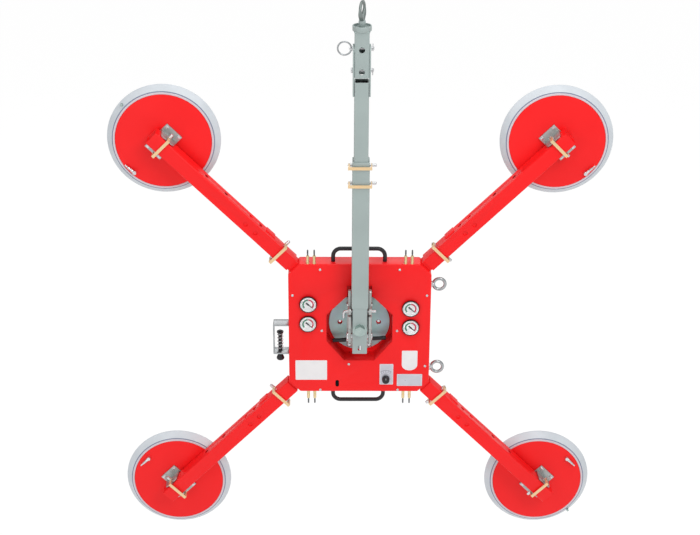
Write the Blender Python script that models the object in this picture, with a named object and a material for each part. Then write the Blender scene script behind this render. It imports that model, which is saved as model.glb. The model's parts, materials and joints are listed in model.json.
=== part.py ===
"""Battery vacuum lifting beam: a tilting and turning mast over four suction plates.

Every length below is in millimetres. The drawing frame has X to the right, Y into the
depth (suction side) and Z up, with the turning axis of the chassis on x = 0, z = 0. The
finished objects are moved so that the bearing point of the hook eye is the origin.
"""
import math

import bmesh
import bpy
from mathutils import Matrix, Vector

MM = 0.001
CLEAR = 0.3

# Mast and head
MAST_Y = -140.0
EYE_BEARING_Z = 1225.0
ORIGIN = Vector((0.0, MAST_Y, EYE_BEARING_Z))
EYE_BAR = 5.0
EYE_RADIUS = 27.0
EYE_YAW = math.radians(16.0)
SHANK_RADIUS = 12.0
JOURNAL_RADIUS = 10.0
CAP_RADIUS = 32.5
CAP_LOW = 1131.5
CAP_HIGH = 1150.0
CAP_FLOOR = 1142.0
HEAD_TUBE_LOW = 973.8
UPPER_SIZE = 50.0
UPPER_WALL = 4.0
UPPER_LOW = 430.0
UPPER_HIGH = 958.0
PLATE_LOW = 909.0
PLATE_HIGH = 1085.8
PLATE_THICK = 5.0
HEAD_PIN_Z = (1070.5, 994.7)
HEAD_PIN_RADIUS = 7.0
RING_HINGE_X = -35.65
RING_RADIUS = 22.75
RING_BAR = 2.25
LOWER_SIZE = 60.0
LOWER_WALL = 4.5
LOWER_LOW = -58.7
LOWER_HIGH = 675.0
FOOT_HALF_X = 26.5
FOOT_HALF_Y = 28.5
FOOT_TOP = 122.6
MAST_PIN_Z = (656.0, 589.5)
MAST_TRAVEL = 130.0
STOP_BOLT_Z = 36.5
STOP_BOLT_RADIUS = 12.0
STOP_BOLT_FLATS = 36.0
FOOT_SLOT_Z = -36.0
LOCK_PIN_Z = 97.6
LOCK_PIN_RADIUS = 4.5
PIVOT_RADIUS = 10.0

# Yoke, index disc and plunger
YOKE_PLATE = (-46.0, 46.0, -39.0, -27.3, -95.0, 105.0)
CHEEK_INNER = 31.5
CHEEK_OUTER = 41.5
SHAFT_RADIUS = 15.0
DISC_RADIUS = 111.5
DISC_FRONT = -27.0
DISC_BACK = -18.3
INDEX_CIRCLE = 71.0
INDEX_PIN_RADIUS = 9.0
CROSS_ROD_Y = -54.0
CROSS_ROD_Z = -56.6
CROSS_ROD_TILT = math.radians(3.2)

# Box and frame
BOX_HALF = 257.5
BOX_MID_Z = 1.0
BOX_CHAMFER = 41.0
BOX_FRONT = -88.0
BOX_BACK = -20.3
SHEET = 3.0
BACK_PLATE_FRONT = -18.0
BACK_PLATE_BACK = -12.0
ARM_Y = -42.5
BEAM_HALF_T = 22.0
BEAM_HALF_Y = 26.0
BEAM_START = 140.0
BEAM_END = 600.0
GAUGES = {
    "upper_left": (-186.0, 101.5),
    "lower_left": (-187.0, 23.0),
    "upper_right": (185.0, 85.0),
    "lower_right": (186.0, 9.5),
}
NEEDLE_ZERO = math.radians(132.0)
KNOB_AT = (98.5, -204.0)
BATTERY_SLOT_AT = (-80.6, -222.5)

# Arms, pins and cups
ARM_HALF_T = 26.0
ARM_HALF_Y = 30.0
ARM_WALL = 3.5
ARM_START = 348.0
ARM_END = 1029.0
ARM_TRAVEL = 120.0
ARM_PIN_S = 411.5
CUP_S = 978.6
PIN_RADIUS = 6.0
PIN_TIP = 54.6
BAIL_AXIS_T = -41.0
BAIL_WIDTH = 11.0
BAIL_REACH = 38.2
PLATE_RADIUS = 170.0
PLATE_BODY = 8.0
SEAL_PROFILE = (
    (163.0, 8.3), (170.4, 8.3), (170.4, 1.4), (179.4, 1.4), (182.0, 6.0), (200.6, 26.5),
    (199.0, 34.0), (163.0, 34.0),
)
CUP_STEPS = 32
CORNERS = {
    "top_left": (-1, 1),
    "top_right": (1, 1),
    "bottom_right": (1, -1),
    "bottom_left": (-1, -1),
}

# Turns a tube drawn along Z into one along the first axis of a corner frame, at arm depth
TO_ARM = Matrix.Translation((0.0, 0.0, ARM_Y)) @ Matrix(((0, 0, 1), (1, 0, 0), (0, 1, 0))).to_4x4()

# Colour, metallic, roughness of each finish
FINISHES = {
    "red_paint": ((0.80, 0.025, 0.03), 0.0, 0.35),
    "grey_paint": ((0.36, 0.42, 0.41), 0.1, 0.45),
    "light_seal": ((0.55, 0.58, 0.60), 0.0, 0.6),
    "galvanised": ((0.42, 0.44, 0.43), 0.8, 0.45),
    "yellow_zinc": ((0.80, 0.62, 0.34), 0.8, 0.35),
    "bright_steel": ((0.62, 0.63, 0.65), 0.9, 0.3),
    "dark_steel": ((0.16, 0.17, 0.18), 0.7, 0.45),
    "black_plastic": ((0.03, 0.03, 0.032), 0.0, 0.5),
    "brass": ((0.72, 0.52, 0.24), 0.9, 0.35),
    "dial_case": ((0.06, 0.06, 0.065), 0.2, 0.4),
    "needle_black": ((0.02, 0.02, 0.02), 0.0, 0.5),
    "battery_case": ((0.10, 0.11, 0.12), 0.0, 0.55),
    "pump_metal": ((0.45, 0.46, 0.47), 0.7, 0.4),
    "tank_paint": ((0.12, 0.13, 0.14), 0.2, 0.5),
}


def clear_scene():
    """Remove every object of the start-up file."""
    for obj in list(bpy.data.objects):
        bpy.data.objects.remove(obj)


def link(bm, label):
    """Put a finished bmesh into the scene as a new object."""
    bmesh.ops.recalc_face_normals(bm, faces=bm.faces[:])
    mesh = bpy.data.meshes.new(label)
    bm.to_mesh(mesh)
    bm.free()
    obj = bpy.data.objects.new(label, mesh)
    bpy.context.collection.objects.link(obj)
    return obj


def prism(outline, low, high, axis):
    """Extrude a flat outline from low to high along X, Y or Z."""
    place = {
        "X": lambda a, b: (low, a, b),
        "Y": lambda a, b: (a, low, b),
        "Z": lambda a, b: (a, b, low),
    }[axis]
    step = {"X": (1, 0, 0), "Y": (0, 1, 0), "Z": (0, 0, 1)}[axis]
    bm = bmesh.new()
    face = bm.faces.new([bm.verts.new(place(a, b)) for a, b in outline])
    made = bmesh.ops.extrude_face_region(bm, geom=[face])
    moved = [item for item in made["geom"] if isinstance(item, bmesh.types.BMVert)]
    bmesh.ops.translate(bm, verts=moved, vec=Vector(step) * (high - low))
    return link(bm, "prism")


def block(x0, x1, y0, y1, z0, z1):
    """A plain rectangular block."""
    return prism(((x0, y0), (x1, y0), (x1, y1), (x0, y1)), z0, z1, "Z")


def revolve(profile, centre, axis, steps):
    """Spin a profile of (radius, height) points about an axis through centre."""
    turn = {
        "X": Matrix(((0, 0, 1), (1, 0, 0), (0, 1, 0))),
        "Y": Matrix(((0, 1, 0), (0, 0, 1), (1, 0, 0))),
        "Z": Matrix.Identity(3),
    }[axis]
    bm = bmesh.new()
    points = [bm.verts.new((radius, 0.0, height)) for radius, height in profile]
    edges = [bm.edges.new((a, b)) for a, b in zip(points, points[1:])]
    if min(radius for radius, height in profile) > 0.0:
        edges.append(bm.edges.new((points[-1], points[0])))
    bmesh.ops.spin(bm, geom=points + edges, cent=(0, 0, 0), axis=(0, 0, 1), dvec=(0, 0, 0),
                   angle=math.tau, steps=steps, use_merge=True, use_duplicate=False)
    bmesh.ops.remove_doubles(bm, verts=bm.verts[:], dist=0.0001)
    half_step = Matrix.Rotation(math.pi / steps, 4, "Z")
    bmesh.ops.transform(bm, matrix=Matrix.Translation(Vector(centre)) @ turn.to_4x4() @ half_step,
                        verts=bm.verts[:])
    return link(bm, "revolve")


def rod(radius, low, high, centre, axis, steps=16, chamfer=0.0):
    """A round rod between two heights, with optional chamfered ends."""
    profile = [(0.0, low), (radius, low), (radius, high), (0.0, high)]
    if chamfer > 0.0:
        profile = [(0.0, low), (radius - chamfer, low), (radius, low + chamfer),
                   (radius, high - chamfer), (radius - chamfer, high), (0.0, high)]
    return revolve(profile, centre, axis, steps)


def hexagon(flats, low, high, centre, axis):
    """A hexagon bar across the given flats."""
    return revolve([(0.0, low), (flats / math.sqrt(3.0), low),
                    (flats / math.sqrt(3.0), high), (0.0, high)], centre, axis, 6)


def sweep(path, radius, steps, closed=False):
    """Sweep a round section along a path that lies in one plane."""
    points = [Vector(point) for point in path]
    count = len(points)
    middle = sum(points, Vector()) / count
    normal = Vector()
    for a, b in zip(points, points[1:]):
        normal += (a - middle).cross(b - middle)
    normal.normalize()
    bm = bmesh.new()
    rings = []
    for index, point in enumerate(points):
        before = points[index - 1] if closed or index else point
        after = points[(index + 1) % count] if closed or index < count - 1 else point
        along_in = (point - before).normalized() if before != point else Vector()
        along_out = (after - point).normalized() if after != point else Vector()
        along = (along_in + along_out).normalized()
        side = normal.cross(along)
        lean = max(0.5, along.dot(along_in if along_in.length else along_out))
        ring = []
        for step in range(steps):
            angle = math.tau * (step + 0.5) / steps
            offset = side * (math.cos(angle) / lean) + normal * math.sin(angle)
            ring.append(bm.verts.new(point + offset * radius))
        rings.append(ring)
    pairs = list(zip(rings, rings[1:]))
    if closed:
        pairs.append((rings[-1], rings[0]))
    for ring_a, ring_b in pairs:
        for step in range(steps):
            nxt = (step + 1) % steps
            bm.faces.new((ring_a[step], ring_a[nxt], ring_b[nxt], ring_b[step]))
    if not closed:
        bm.faces.new(list(reversed(rings[0])))
        bm.faces.new(rings[-1])
    return link(bm, "sweep")


def arc(centre, radius, start, end, steps):
    """Points of an arc in degrees, counted from the first axis to the second."""
    points = []
    for step in range(steps + 1):
        angle = math.radians(start + (end - start) * step / steps)
        points.append((centre[0] + radius * math.cos(angle), centre[1] + radius * math.sin(angle)))
    return points


def bake(obj):
    """Apply the object's modifiers to its mesh."""
    graph = bpy.context.evaluated_depsgraph_get()
    mesh = bpy.data.meshes.new_from_object(obj.evaluated_get(graph))
    old = obj.data
    obj.modifiers.clear()
    obj.data = mesh
    bpy.data.meshes.remove(old)
    return obj


def combine(target, other, operation):
    """One exact Boolean between two bodies; the second one is used up."""
    step = target.modifiers.new("combine", "BOOLEAN")
    step.operation = operation
    step.solver = "EXACT"
    step.object = other
    bake(target)
    bpy.data.objects.remove(other)
    return target


def weld(target, *others):
    """Union of several bodies."""
    for other in others:
        combine(target, other, "UNION")
    return target


def cut(target, *others):
    """Subtract several bodies."""
    for other in others:
        combine(target, other, "DIFFERENCE")
    return target


def soften(obj, width, segments=1, angle=40.0):
    """Bevel the sharp edges of a body."""
    step = obj.modifiers.new("soften", "BEVEL")
    step.width = width
    step.segments = segments
    step.limit_method = "ANGLE"
    step.angle_limit = math.radians(angle)
    step.use_clamp_overlap = True
    return bake(obj)


def moved(obj, matrix):
    """Move the mesh of a body by a matrix."""
    obj.data.transform(matrix)
    if matrix.determinant() < 0.0:
        obj.data.flip_normals()
    obj.data.update()
    return obj


def rounded_bar(half_a, half_b, low, high, radius, axis):
    """A rectangular bar centred on its axis with rounded long edges."""
    corners = ((1, 1, 0), (-1, 1, 90), (-1, -1, 180), (1, -1, 270))
    outline = []
    for side_a, side_b, start in corners:
        centre = (side_a * (half_a - radius), side_b * (half_b - radius))
        outline.extend(arc(centre, radius, start, start + 90, 2))
    return prism(outline, low, high, axis)


def square_tube(half_a, half_b, wall, low, high):
    """A rectangular tube along Z with rounded outer corners, open at both ends."""
    outer = rounded_bar(half_a, half_b, low, high, wall * 0.9, "Z")
    inner = block(wall - half_a, half_a - wall, wall - half_b, half_b - wall, low - 5.0, high + 5.0)
    return cut(outer, inner)


def material(finish):
    """The shared material of one finish."""
    found = bpy.data.materials.get(finish)
    if found:
        return found
    colour, metallic, roughness = FINISHES[finish]
    made = bpy.data.materials.new(finish)
    made.use_nodes = True
    shader = made.node_tree.nodes["Principled BSDF"]
    shader.inputs["Base Color"].default_value = (*colour, 1.0)
    shader.inputs["Metallic"].default_value = metallic
    shader.inputs["Roughness"].default_value = roughness
    made.diffuse_color = (*colour, 1.0)
    return made


def finish(body, name, paint, pivot=(0.0, 0.0, 0.0), frame=None):
    """Name a body, move its origin to the pivot and place it in the finished frame."""
    frame = frame or Matrix.Identity(4)
    pivot = Vector(pivot)
    body.data.transform(Matrix.Scale(MM, 4) @ Matrix.Translation(-pivot))
    body.data.shade_smooth()
    body.data.set_sharp_from_angle(angle=math.radians(32.0))
    body.data.materials.clear()
    body.data.materials.append(material(paint))
    place = frame.copy()
    place.translation = (frame @ pivot - ORIGIN) * MM
    body.matrix_world = place
    body.name = name
    body.data.name = name
    return body


def mast_pin_frame(height):
    """Frame of a mast pin: second axis to its tip on the right, third axis to the back."""
    axes = (Vector((0.0, 0.0, 1.0)), Vector((1.0, 0.0, 0.0)), Vector((0.0, 1.0, 0.0)))
    frame = Matrix(axes).transposed().to_4x4()
    frame.translation = (0.0, MAST_Y, height)
    return frame


def corner_frame(corner):
    """Frame of one corner: first axis along the arm, second to the pin tips, third back."""
    side_x, side_z = CORNERS[corner]
    along = Vector((side_x, 0.0, side_z)).normalized()
    tip = Vector((side_z, 0.0, -side_x)).normalized()
    return Matrix((along, tip, Vector((0.0, 1.0, 0.0)))).transposed().to_4x4()


def strap_pin():
    """A strap pin about the origin: flat tang, collar, shaft, neck and tip along Y."""
    shaft = revolve([(0.0, -37.0), (9.0, -37.0), (9.0, -33.6), (PIN_RADIUS, -33.6),
                     (PIN_RADIUS, 33.6), (3.4, 33.6), (3.4, 38.9), (PIN_RADIUS, 38.9),
                     (PIN_RADIUS, PIN_TIP), (0.0, PIN_TIP)],
                    (0, 0, 0), "Y", 8)
    tang = block(-2.5, 2.5, -46.0, -36.5, -5.0, 5.0)
    eye = rod(2.5, -4.0, 4.0, (0.0, BAIL_AXIS_T, 0.0), "X", 8)
    return cut(weld(shaft, tang), eye)


def strap_bail():
    """The flat strap that locks a pin: fork at the tip, two prongs and a rivet at the tang."""
    half = BAIL_WIDTH / 2.0
    reach = BAIL_REACH
    strap = block(-half, half, BAIL_AXIS_T - 4.0, reach, -37.5, -34.5)
    tip_leg = block(-half, half, reach - 3.0, reach, -35.5, 5.5)
    tip_leg = cut(tip_leg, block(-3.8, 3.8, reach - 4.0, reach + 1.0, -3.9, 7.0))
    head_leg = block(-half, half, BAIL_AXIS_T - 2.6, BAIL_AXIS_T + 2.6, -35.5, 2.6)
    head_leg = cut(head_leg, block(-2.8, 2.8, BAIL_AXIS_T - 4.0, BAIL_AXIS_T + 4.0, -12.0, 4.0))
    rivet = rod(2.0, -half - 1.0, half + 1.0, (0.0, BAIL_AXIS_T, 0.0), "X", 6)
    return weld(strap, tip_leg, head_leg, rivet)


def make_hook_eye():
    """Teardrop eye on its shank, with the journal and nut that hang the swivel head."""
    centre_z = EYE_BEARING_Z + EYE_BAR - EYE_RADIUS
    low_radius = 7.0
    low_z = 1176.0
    spread = math.degrees(math.asin((EYE_RADIUS - low_radius) / (centre_z - low_z)))
    outline = arc((0.0, centre_z), EYE_RADIUS, -spread, 180.0 + spread, 16)
    outline += arc((0.0, low_z), low_radius, 180.0 + spread, 360.0 - spread, 5)
    turn = Matrix.Rotation(math.pi / 2.0 - EYE_YAW, 4, "Z")
    bow = sweep([(turn @ Vector((x, 0.0, z))) + Vector((0.0, MAST_Y, 0.0)) for x, z in outline],
                EYE_BAR, 8, closed=True)
    shank = revolve([(0.0, CAP_LOW - 16.0), (16.0, CAP_LOW - 16.0), (16.0, CAP_LOW - CLEAR),
                     (JOURNAL_RADIUS, CAP_LOW - CLEAR), (JOURNAL_RADIUS, CAP_FLOOR + CLEAR),
                     (SHANK_RADIUS, CAP_FLOOR + 6.0), (SHANK_RADIUS, 1163.0), (10.5, 1168.0),
                     (6.0, 1171.5), (0.0, 1172.5)], (0.0, MAST_Y, 0.0), "Z", 16)
    return finish(weld(shank, bow), "hook_eye", "dark_steel", (0.0, MAST_Y, EYE_BEARING_Z))


def make_swivel_head():
    """Round cap welded on the short square head tube."""
    half = UPPER_SIZE / 2.0
    inner = half - UPPER_WALL
    tube = rounded_bar(half, half, HEAD_TUBE_LOW, CAP_LOW + 6.0, UPPER_WALL * 0.9, "Z")
    moved(tube, Matrix.Translation((0.0, MAST_Y, 0.0)))
    cap = revolve([(0.0, CAP_LOW), (CAP_RADIUS - 3.0, CAP_LOW), (CAP_RADIUS, CAP_LOW + 3.0),
                   (CAP_RADIUS, CAP_HIGH), (CAP_RADIUS - 3.5, CAP_HIGH),
                   (CAP_RADIUS - 3.5, CAP_FLOOR), (0.0, CAP_FLOOR)], (0.0, MAST_Y, 0.0), "Z", 24)
    weld(tube, cap)
    cut(tube, block(-inner, inner, MAST_Y - inner, MAST_Y + inner, HEAD_TUBE_LOW - 5.0, CAP_LOW))
    cut(tube, rod(JOURNAL_RADIUS + CLEAR, CAP_LOW - 5.0, CAP_HIGH + 5.0, (0.0, MAST_Y, 0.0), "Z", 16))
    for height in HEAD_PIN_Z:
        cut(tube, rod(HEAD_PIN_RADIUS + CLEAR, -40.0, 40.0, (0.0, MAST_Y, height), "X", 12))
        cut(tube, rod(10.0, MAST_Y - 40.0, MAST_Y, (0.0, 0.0, height), "Y", 12))
    return finish(tube, "swivel_head", "grey_paint", (0.0, MAST_Y, CAP_LOW))


def make_head_pins():
    """The two cross pins of the head; the upper one carries the pull ring in a flat lug."""
    upper = revolve([(0.0, -32.4), (8.5, -32.4), (8.5, -30.7), (HEAD_PIN_RADIUS, -30.7),
                     (HEAD_PIN_RADIUS, 39.0), (HEAD_PIN_RADIUS - 1.5, 41.0), (0.0, 41.0)],
                    (0.0, MAST_Y, HEAD_PIN_Z[0]), "X", 16)
    lug = block(-43.5, -31.5, MAST_Y - 8.0, MAST_Y + 8.0, HEAD_PIN_Z[0] - 3.0, HEAD_PIN_Z[0] + 3.0)
    hole = rod(3.2, HEAD_PIN_Z[0] - 6.0, HEAD_PIN_Z[0] + 6.0, (RING_HINGE_X - 0.3, MAST_Y, 0.0), "Z", 12)
    cut(weld(upper, lug), hole)
    finish(upper, "head_pin_upper", "bright_steel", (0.0, MAST_Y, HEAD_PIN_Z[0]))
    lower = revolve([(0.0, -37.0), (9.5, -37.0), (9.5, -30.7), (HEAD_PIN_RADIUS, -30.7),
                     (HEAD_PIN_RADIUS, 39.0), (HEAD_PIN_RADIUS - 1.5, 41.0), (0.0, 41.0)],
                    (0.0, MAST_Y, HEAD_PIN_Z[1]), "X", 16)
    return finish(lower, "head_pin_lower", "bright_steel", (0.0, MAST_Y, HEAD_PIN_Z[1]))


def make_pull_ring():
    """Loose ring in the lug of the upper head pin."""
    outline = arc((RING_HINGE_X - RING_RADIUS, HEAD_PIN_Z[0]), RING_RADIUS, 0.0, 342.0, 19)
    ring = sweep([(x, MAST_Y, z) for x, z in outline], RING_BAR, 8, closed=True)
    return finish(ring, "head_pull_ring", "bright_steel", (RING_HINGE_X, MAST_Y, HEAD_PIN_Z[0]))


def head_plate(side):
    """One of the two plates that join the mast to the swivel head, with its weld seam."""
    half = UPPER_SIZE / 2.0
    shoulder = 1066.0
    outline = [(MAST_Y - half, PLATE_LOW), (MAST_Y + half, PLATE_LOW), (MAST_Y + half, shoulder)]
    outline += arc((MAST_Y, shoulder - 5.2), half, 20.0, 160.0, 8) + [(MAST_Y - half, shoulder)]
    low, high = sorted((side * (half + CLEAR), side * (half + CLEAR + PLATE_THICK)))
    plate = prism(outline, low, high, "X")
    low, high = sorted((side * (half - 1.0), side * (half + 1.0)))
    return weld(plate, block(low, high, MAST_Y - 20.0, MAST_Y + 20.0, PLATE_LOW + 3.0, UPPER_HIGH - 4.0))


def make_mast_upper():
    """Inner mast tube: slotted side walls for the mast pins, and the two head plates."""
    half = UPPER_SIZE / 2.0
    tube = square_tube(half, half, UPPER_WALL, UPPER_LOW, UPPER_HIGH)
    moved(tube, Matrix.Translation((0.0, MAST_Y, 0.0)))
    low = MAST_PIN_Z[1] - MAST_TRAVEL - PIN_RADIUS - 1.5
    high = MAST_PIN_Z[0] + PIN_RADIUS + 1.5
    slot = block(-half - 5.0, half + 5.0, MAST_Y - 6.8, MAST_Y + 6.8, low, high)
    weld(cut(tube, slot), head_plate(-1), head_plate(1))
    for height in HEAD_PIN_Z:
        cut(tube, rod(HEAD_PIN_RADIUS + CLEAR, -40.0, 40.0, (0.0, MAST_Y, height), "X", 16))
    return finish(tube, "mast_upper_tube", "grey_paint", (0.0, MAST_Y, UPPER_HIGH))


def make_mast_lower():
    """Outer mast tube on its narrower foot, with the two strap pins seated in it."""
    half = LOWER_SIZE / 2.0
    tube = square_tube(half, half, LOWER_WALL, FOOT_TOP, LOWER_HIGH)
    foot = square_tube(FOOT_HALF_X, FOOT_HALF_Y, LOWER_WALL, LOWER_LOW, FOOT_TOP + 8.0)
    moved(weld(tube, foot), Matrix.Translation((0.0, MAST_Y, 0.0)))
    for height in MAST_PIN_Z:
        weld(tube, moved(strap_pin(), mast_pin_frame(height)))
    cut(tube, rod(LOCK_PIN_RADIUS + 0.5, -40.0, 40.0, (0.0, MAST_Y, LOCK_PIN_Z), "X", 14))
    cut(tube, rod(PIVOT_RADIUS + 0.4, -40.0, 40.0, (0.0, MAST_Y, 0.0), "X", 16))
    cut(tube, rod(STOP_BOLT_RADIUS + CLEAR, MAST_Y - 40.0, MAST_Y + 40.0,
                  (0.0, 0.0, STOP_BOLT_Z), "Y", 18))
    slot = arc((0.0, FOOT_SLOT_Z + 4.0), 7.0, 0.0, 180.0, 6) + arc((0.0, FOOT_SLOT_Z - 4.0), 7.0,
                                                                 180.0, 360.0, 6)
    cut(tube, prism(slot, MAST_Y - 40.0, MAST_Y - 20.0, "Y"))
    return finish(tube, "mast_lower_tube", "grey_paint", (0.0, MAST_Y, 0.0))


def make_stop_bolt():
    """Hexagon bolt through the foot whose end rests on the yoke plate."""
    front = MAST_Y - FOOT_HALF_Y
    place = (0.0, 0.0, STOP_BOLT_Z)
    head = soften(hexagon(STOP_BOLT_FLATS, front - 15.0, front - CLEAR, place, "Y"), 1.2)
    shank = rod(STOP_BOLT_RADIUS, front - 5.0, YOKE_PLATE[2] - CLEAR, place, "Y", 18)
    return finish(weld(head, shank), "stop_bolt", "dark_steel", (0.0, front, STOP_BOLT_Z))


def make_mast_bails():
    """Strap bail of each mast pin, with its origin on its rivet."""
    for label, height in zip(("upper", "lower"), MAST_PIN_Z):
        finish(strap_bail(), "mast_pin_bail_" + label, "yellow_zinc",
               (0.0, BAIL_AXIS_T, 0.0), mast_pin_frame(height))


def make_tilt_pivot():
    """Pivot pin of the foot in the yoke cheeks."""
    pin = revolve([(0.0, -46.5), (13.0, -46.5), (14.0, -45.5), (14.0, -CHEEK_OUTER - CLEAR),
                   (PIVOT_RADIUS, -CHEEK_OUTER - CLEAR), (PIVOT_RADIUS, 45.0),
                   (PIVOT_RADIUS - 1.0, 46.0), (0.0, 46.0)], (0.0, MAST_Y, 0.0), "X", 16)
    return finish(pin, "tilt_pivot_pin", "bright_steel", (0.0, MAST_Y, 0.0))


def make_lock_pin():
    """Round pin with a bent handle that locks the foot upright in the yoke."""
    bend = [(x, MAST_Y, z) for x, z in arc((-49.0, LOCK_PIN_Z - 8.0), 8.0, 90.0, 180.0, 4)]
    path = [(58.0, MAST_Y, LOCK_PIN_Z)] + bend + [(-57.0, MAST_Y, 72.0)]
    return finish(sweep(path, LOCK_PIN_RADIUS, 12), "mast_lock_pin", "bright_steel",
                  (0.0, MAST_Y, LOCK_PIN_Z))


def cheek_outline():
    """Side view of a yoke cheek as (depth, height) points."""
    front = MAST_Y - 30.0
    return [
        (-36.0, -48.0), (-70.0, -48.0), (-128.0, -32.0), (front + 15.0, -22.0), (front + 15.0, 32.0),
        (front + 3.0, 38.0), (front, 42.0), (front, 112.0), (front + 5.0, 117.6), (-137.0, 117.6),
        (-136.0, 168.0), (-131.0, 174.3), (-117.0, 174.3), (-112.0, 168.0), (-110.0, 118.0),
        (-96.0, 100.0), (-36.0, 100.0),
    ]


def make_yoke():
    """Base plate, two cheeks, turning shaft and retaining nut."""
    yoke = soften(block(*YOKE_PLATE), 2.0)
    for side in (-1, 1):
        low, high = sorted((side * CHEEK_INNER, side * CHEEK_OUTER))
        weld(yoke, prism(cheek_outline(), low, high, "X"))
    shaft = revolve([(0.0, -30.0), (SHAFT_RADIUS, -30.0), (SHAFT_RADIUS, BACK_PLATE_BACK + CLEAR),
                     (24.0, BACK_PLATE_BACK + CLEAR), (24.0, -3.0), (22.0, -2.0), (0.0, -2.0)],
                    (0.0, 0.0, 0.0), "Y", 16)
    weld(yoke, shaft)
    cut(yoke, rod(PIVOT_RADIUS + 0.4, -60.0, 60.0, (0.0, MAST_Y, 0.0), "X", 16))
    cut(yoke, rod(INDEX_PIN_RADIUS + CLEAR, -60.0, -20.0, (0.0, 0.0, -INDEX_CIRCLE), "Y", 20))
    gap = LOCK_PIN_RADIUS + 0.5
    track = arc((MAST_Y, 0.0), LOCK_PIN_Z + gap, 90.0, 114.0, 6)
    track += reversed(arc((MAST_Y, 0.0), LOCK_PIN_Z - gap, 90.0, 114.0, 6))
    track += arc((MAST_Y, LOCK_PIN_Z), gap, -60.0, 60.0, 4)
    cut(yoke, prism(track, -60.0, 60.0, "X"))
    return finish(yoke, "yoke", "grey_paint", (0.0, MAST_Y, 0.0))


def make_index_disc():
    """Disc with four index holes, fixed to the chassis."""
    disc = rod(DISC_RADIUS, DISC_FRONT, DISC_BACK, (0.0, 0.0, 0.0), "Y", 32)
    cut(disc, rod(SHAFT_RADIUS + 0.6, -40.0, 0.0, (0.0, 0.0, 0.0), "Y", 16))
    for x, z in ((0, -1), (1, 0), (0, 1), (-1, 0)):
        cut(disc, rod(9.5, -40.0, 0.0, (x * INDEX_CIRCLE, 0.0, z * INDEX_CIRCLE), "Y", 12))
    return finish(disc, "index_disc", "bright_steel", (0.0, DISC_BACK, 0.0))


def make_index_plunger():
    """Index pin, parked in front of the disc, with its cross rod and two grips."""
    pin = rod(INDEX_PIN_RADIUS - 0.2, CROSS_ROD_Y, DISC_FRONT - 1.0, (0.0, 0.0, -INDEX_CIRCLE), "Y", 12)
    turn = Matrix.Translation((0.0, CROSS_ROD_Y, CROSS_ROD_Z)) @ Matrix.Rotation(-CROSS_ROD_TILT, 4, "Y")
    bar = moved(rod(4.0, -90.0, 90.0, (0, 0, 0), "X", 8), turn)
    hub = block(-9.5, 9.5, CROSS_ROD_Y - 6.0, CROSS_ROD_Y + 6.0, -81.0, -49.5)
    plunger = weld(soften(hub, 1.0), pin, bar)
    for side in (-1, 1):
        grip = revolve([(0.0, 47.0), (7.0, 47.0), (7.8, 49.0), (7.2, 74.0), (8.0, 95.0),
                        (6.5, 98.6), (0.0, 98.6)], (0, 0, 0), "X", 12)
        flip = Matrix.Rotation(0.0 if side > 0 else math.pi, 4, "Y")
        weld(plunger, moved(grip, turn @ flip))
    return finish(plunger, "index_plunger", "black_plastic", (0.0, CROSS_ROD_Y, -INDEX_CIRCLE))


def box_outline(inset=0.0):
    """Front view of the box with chamfered corners."""
    half = BOX_HALF - inset
    low = BOX_MID_Z - half
    high = BOX_MID_Z + half
    leg = BOX_CHAMFER - inset * 0.586
    return [(-half + leg, low), (half - leg, low), (half, low + leg), (half, high - leg),
            (half - leg, high), (-half + leg, high), (-half, high - leg), (-half, low + leg)]


def well_outline(grow=0.0):
    """Front view of the well and the mast slot above it."""
    corner = grow * 0.414
    return [(-120.0 - grow, -49.0 - corner), (-55.5 - corner, -127.5 - grow),
            (55.5 + corner, -127.5 - grow), (120.0 + grow, -49.0 - corner),
            (120.0 + grow, 58.0 + corner), (49.0 + corner, 130.0 + grow), (44.1 + grow, 130.0 + grow),
            (44.1 + grow, 173.8 + grow), (-45.9 - grow, 173.8 + grow), (-45.9 - grow, 130.0 + grow),
            (-49.0 - corner, 130.0 + grow), (-120.0 - grow, 58.0 + corner)]


def make_chassis():
    """Back plate with the four inner beams that carry the arms."""
    plate = prism(box_outline(4.0), BACK_PLATE_FRONT, BACK_PLATE_BACK, "Y")
    for corner in CORNERS:
        frame = corner_frame(corner)
        beam = moved(square_tube(BEAM_HALF_T, BEAM_HALF_Y, 4.0, BEAM_START, BEAM_END), TO_ARM)
        slot = block(ARM_PIN_S - 7.5, ARM_PIN_S + ARM_TRAVEL + 7.5, -40.0, 40.0,
                     ARM_Y - 6.8, ARM_Y + 6.8)
        weld(plate, moved(cut(beam, slot), frame))
    cut(plate, rod(SHAFT_RADIUS + 0.6, -40.0, 10.0, (0.0, 0.0, 0.0), "Y", 16))
    return finish(plate, "chassis_frame", "red_paint", (0.0, 0.0, 0.0))


def hose_coupling(x, side):
    """Hose coupling on the top or the bottom face of the box."""
    body = revolve([(0.0, -1.5), (5.6, -1.5), (5.6, 31.0), (3.2, 31.5), (3.2, 53.0), (0.0, 53.0)],
                   (0, 0, 0), "Z", 6)
    flip = Matrix.Rotation(0.0 if side > 0 else math.pi, 4, "X")
    return moved(body, Matrix.Translation((x, -79.0, BOX_MID_Z + side * BOX_HALF)) @ flip)


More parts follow.
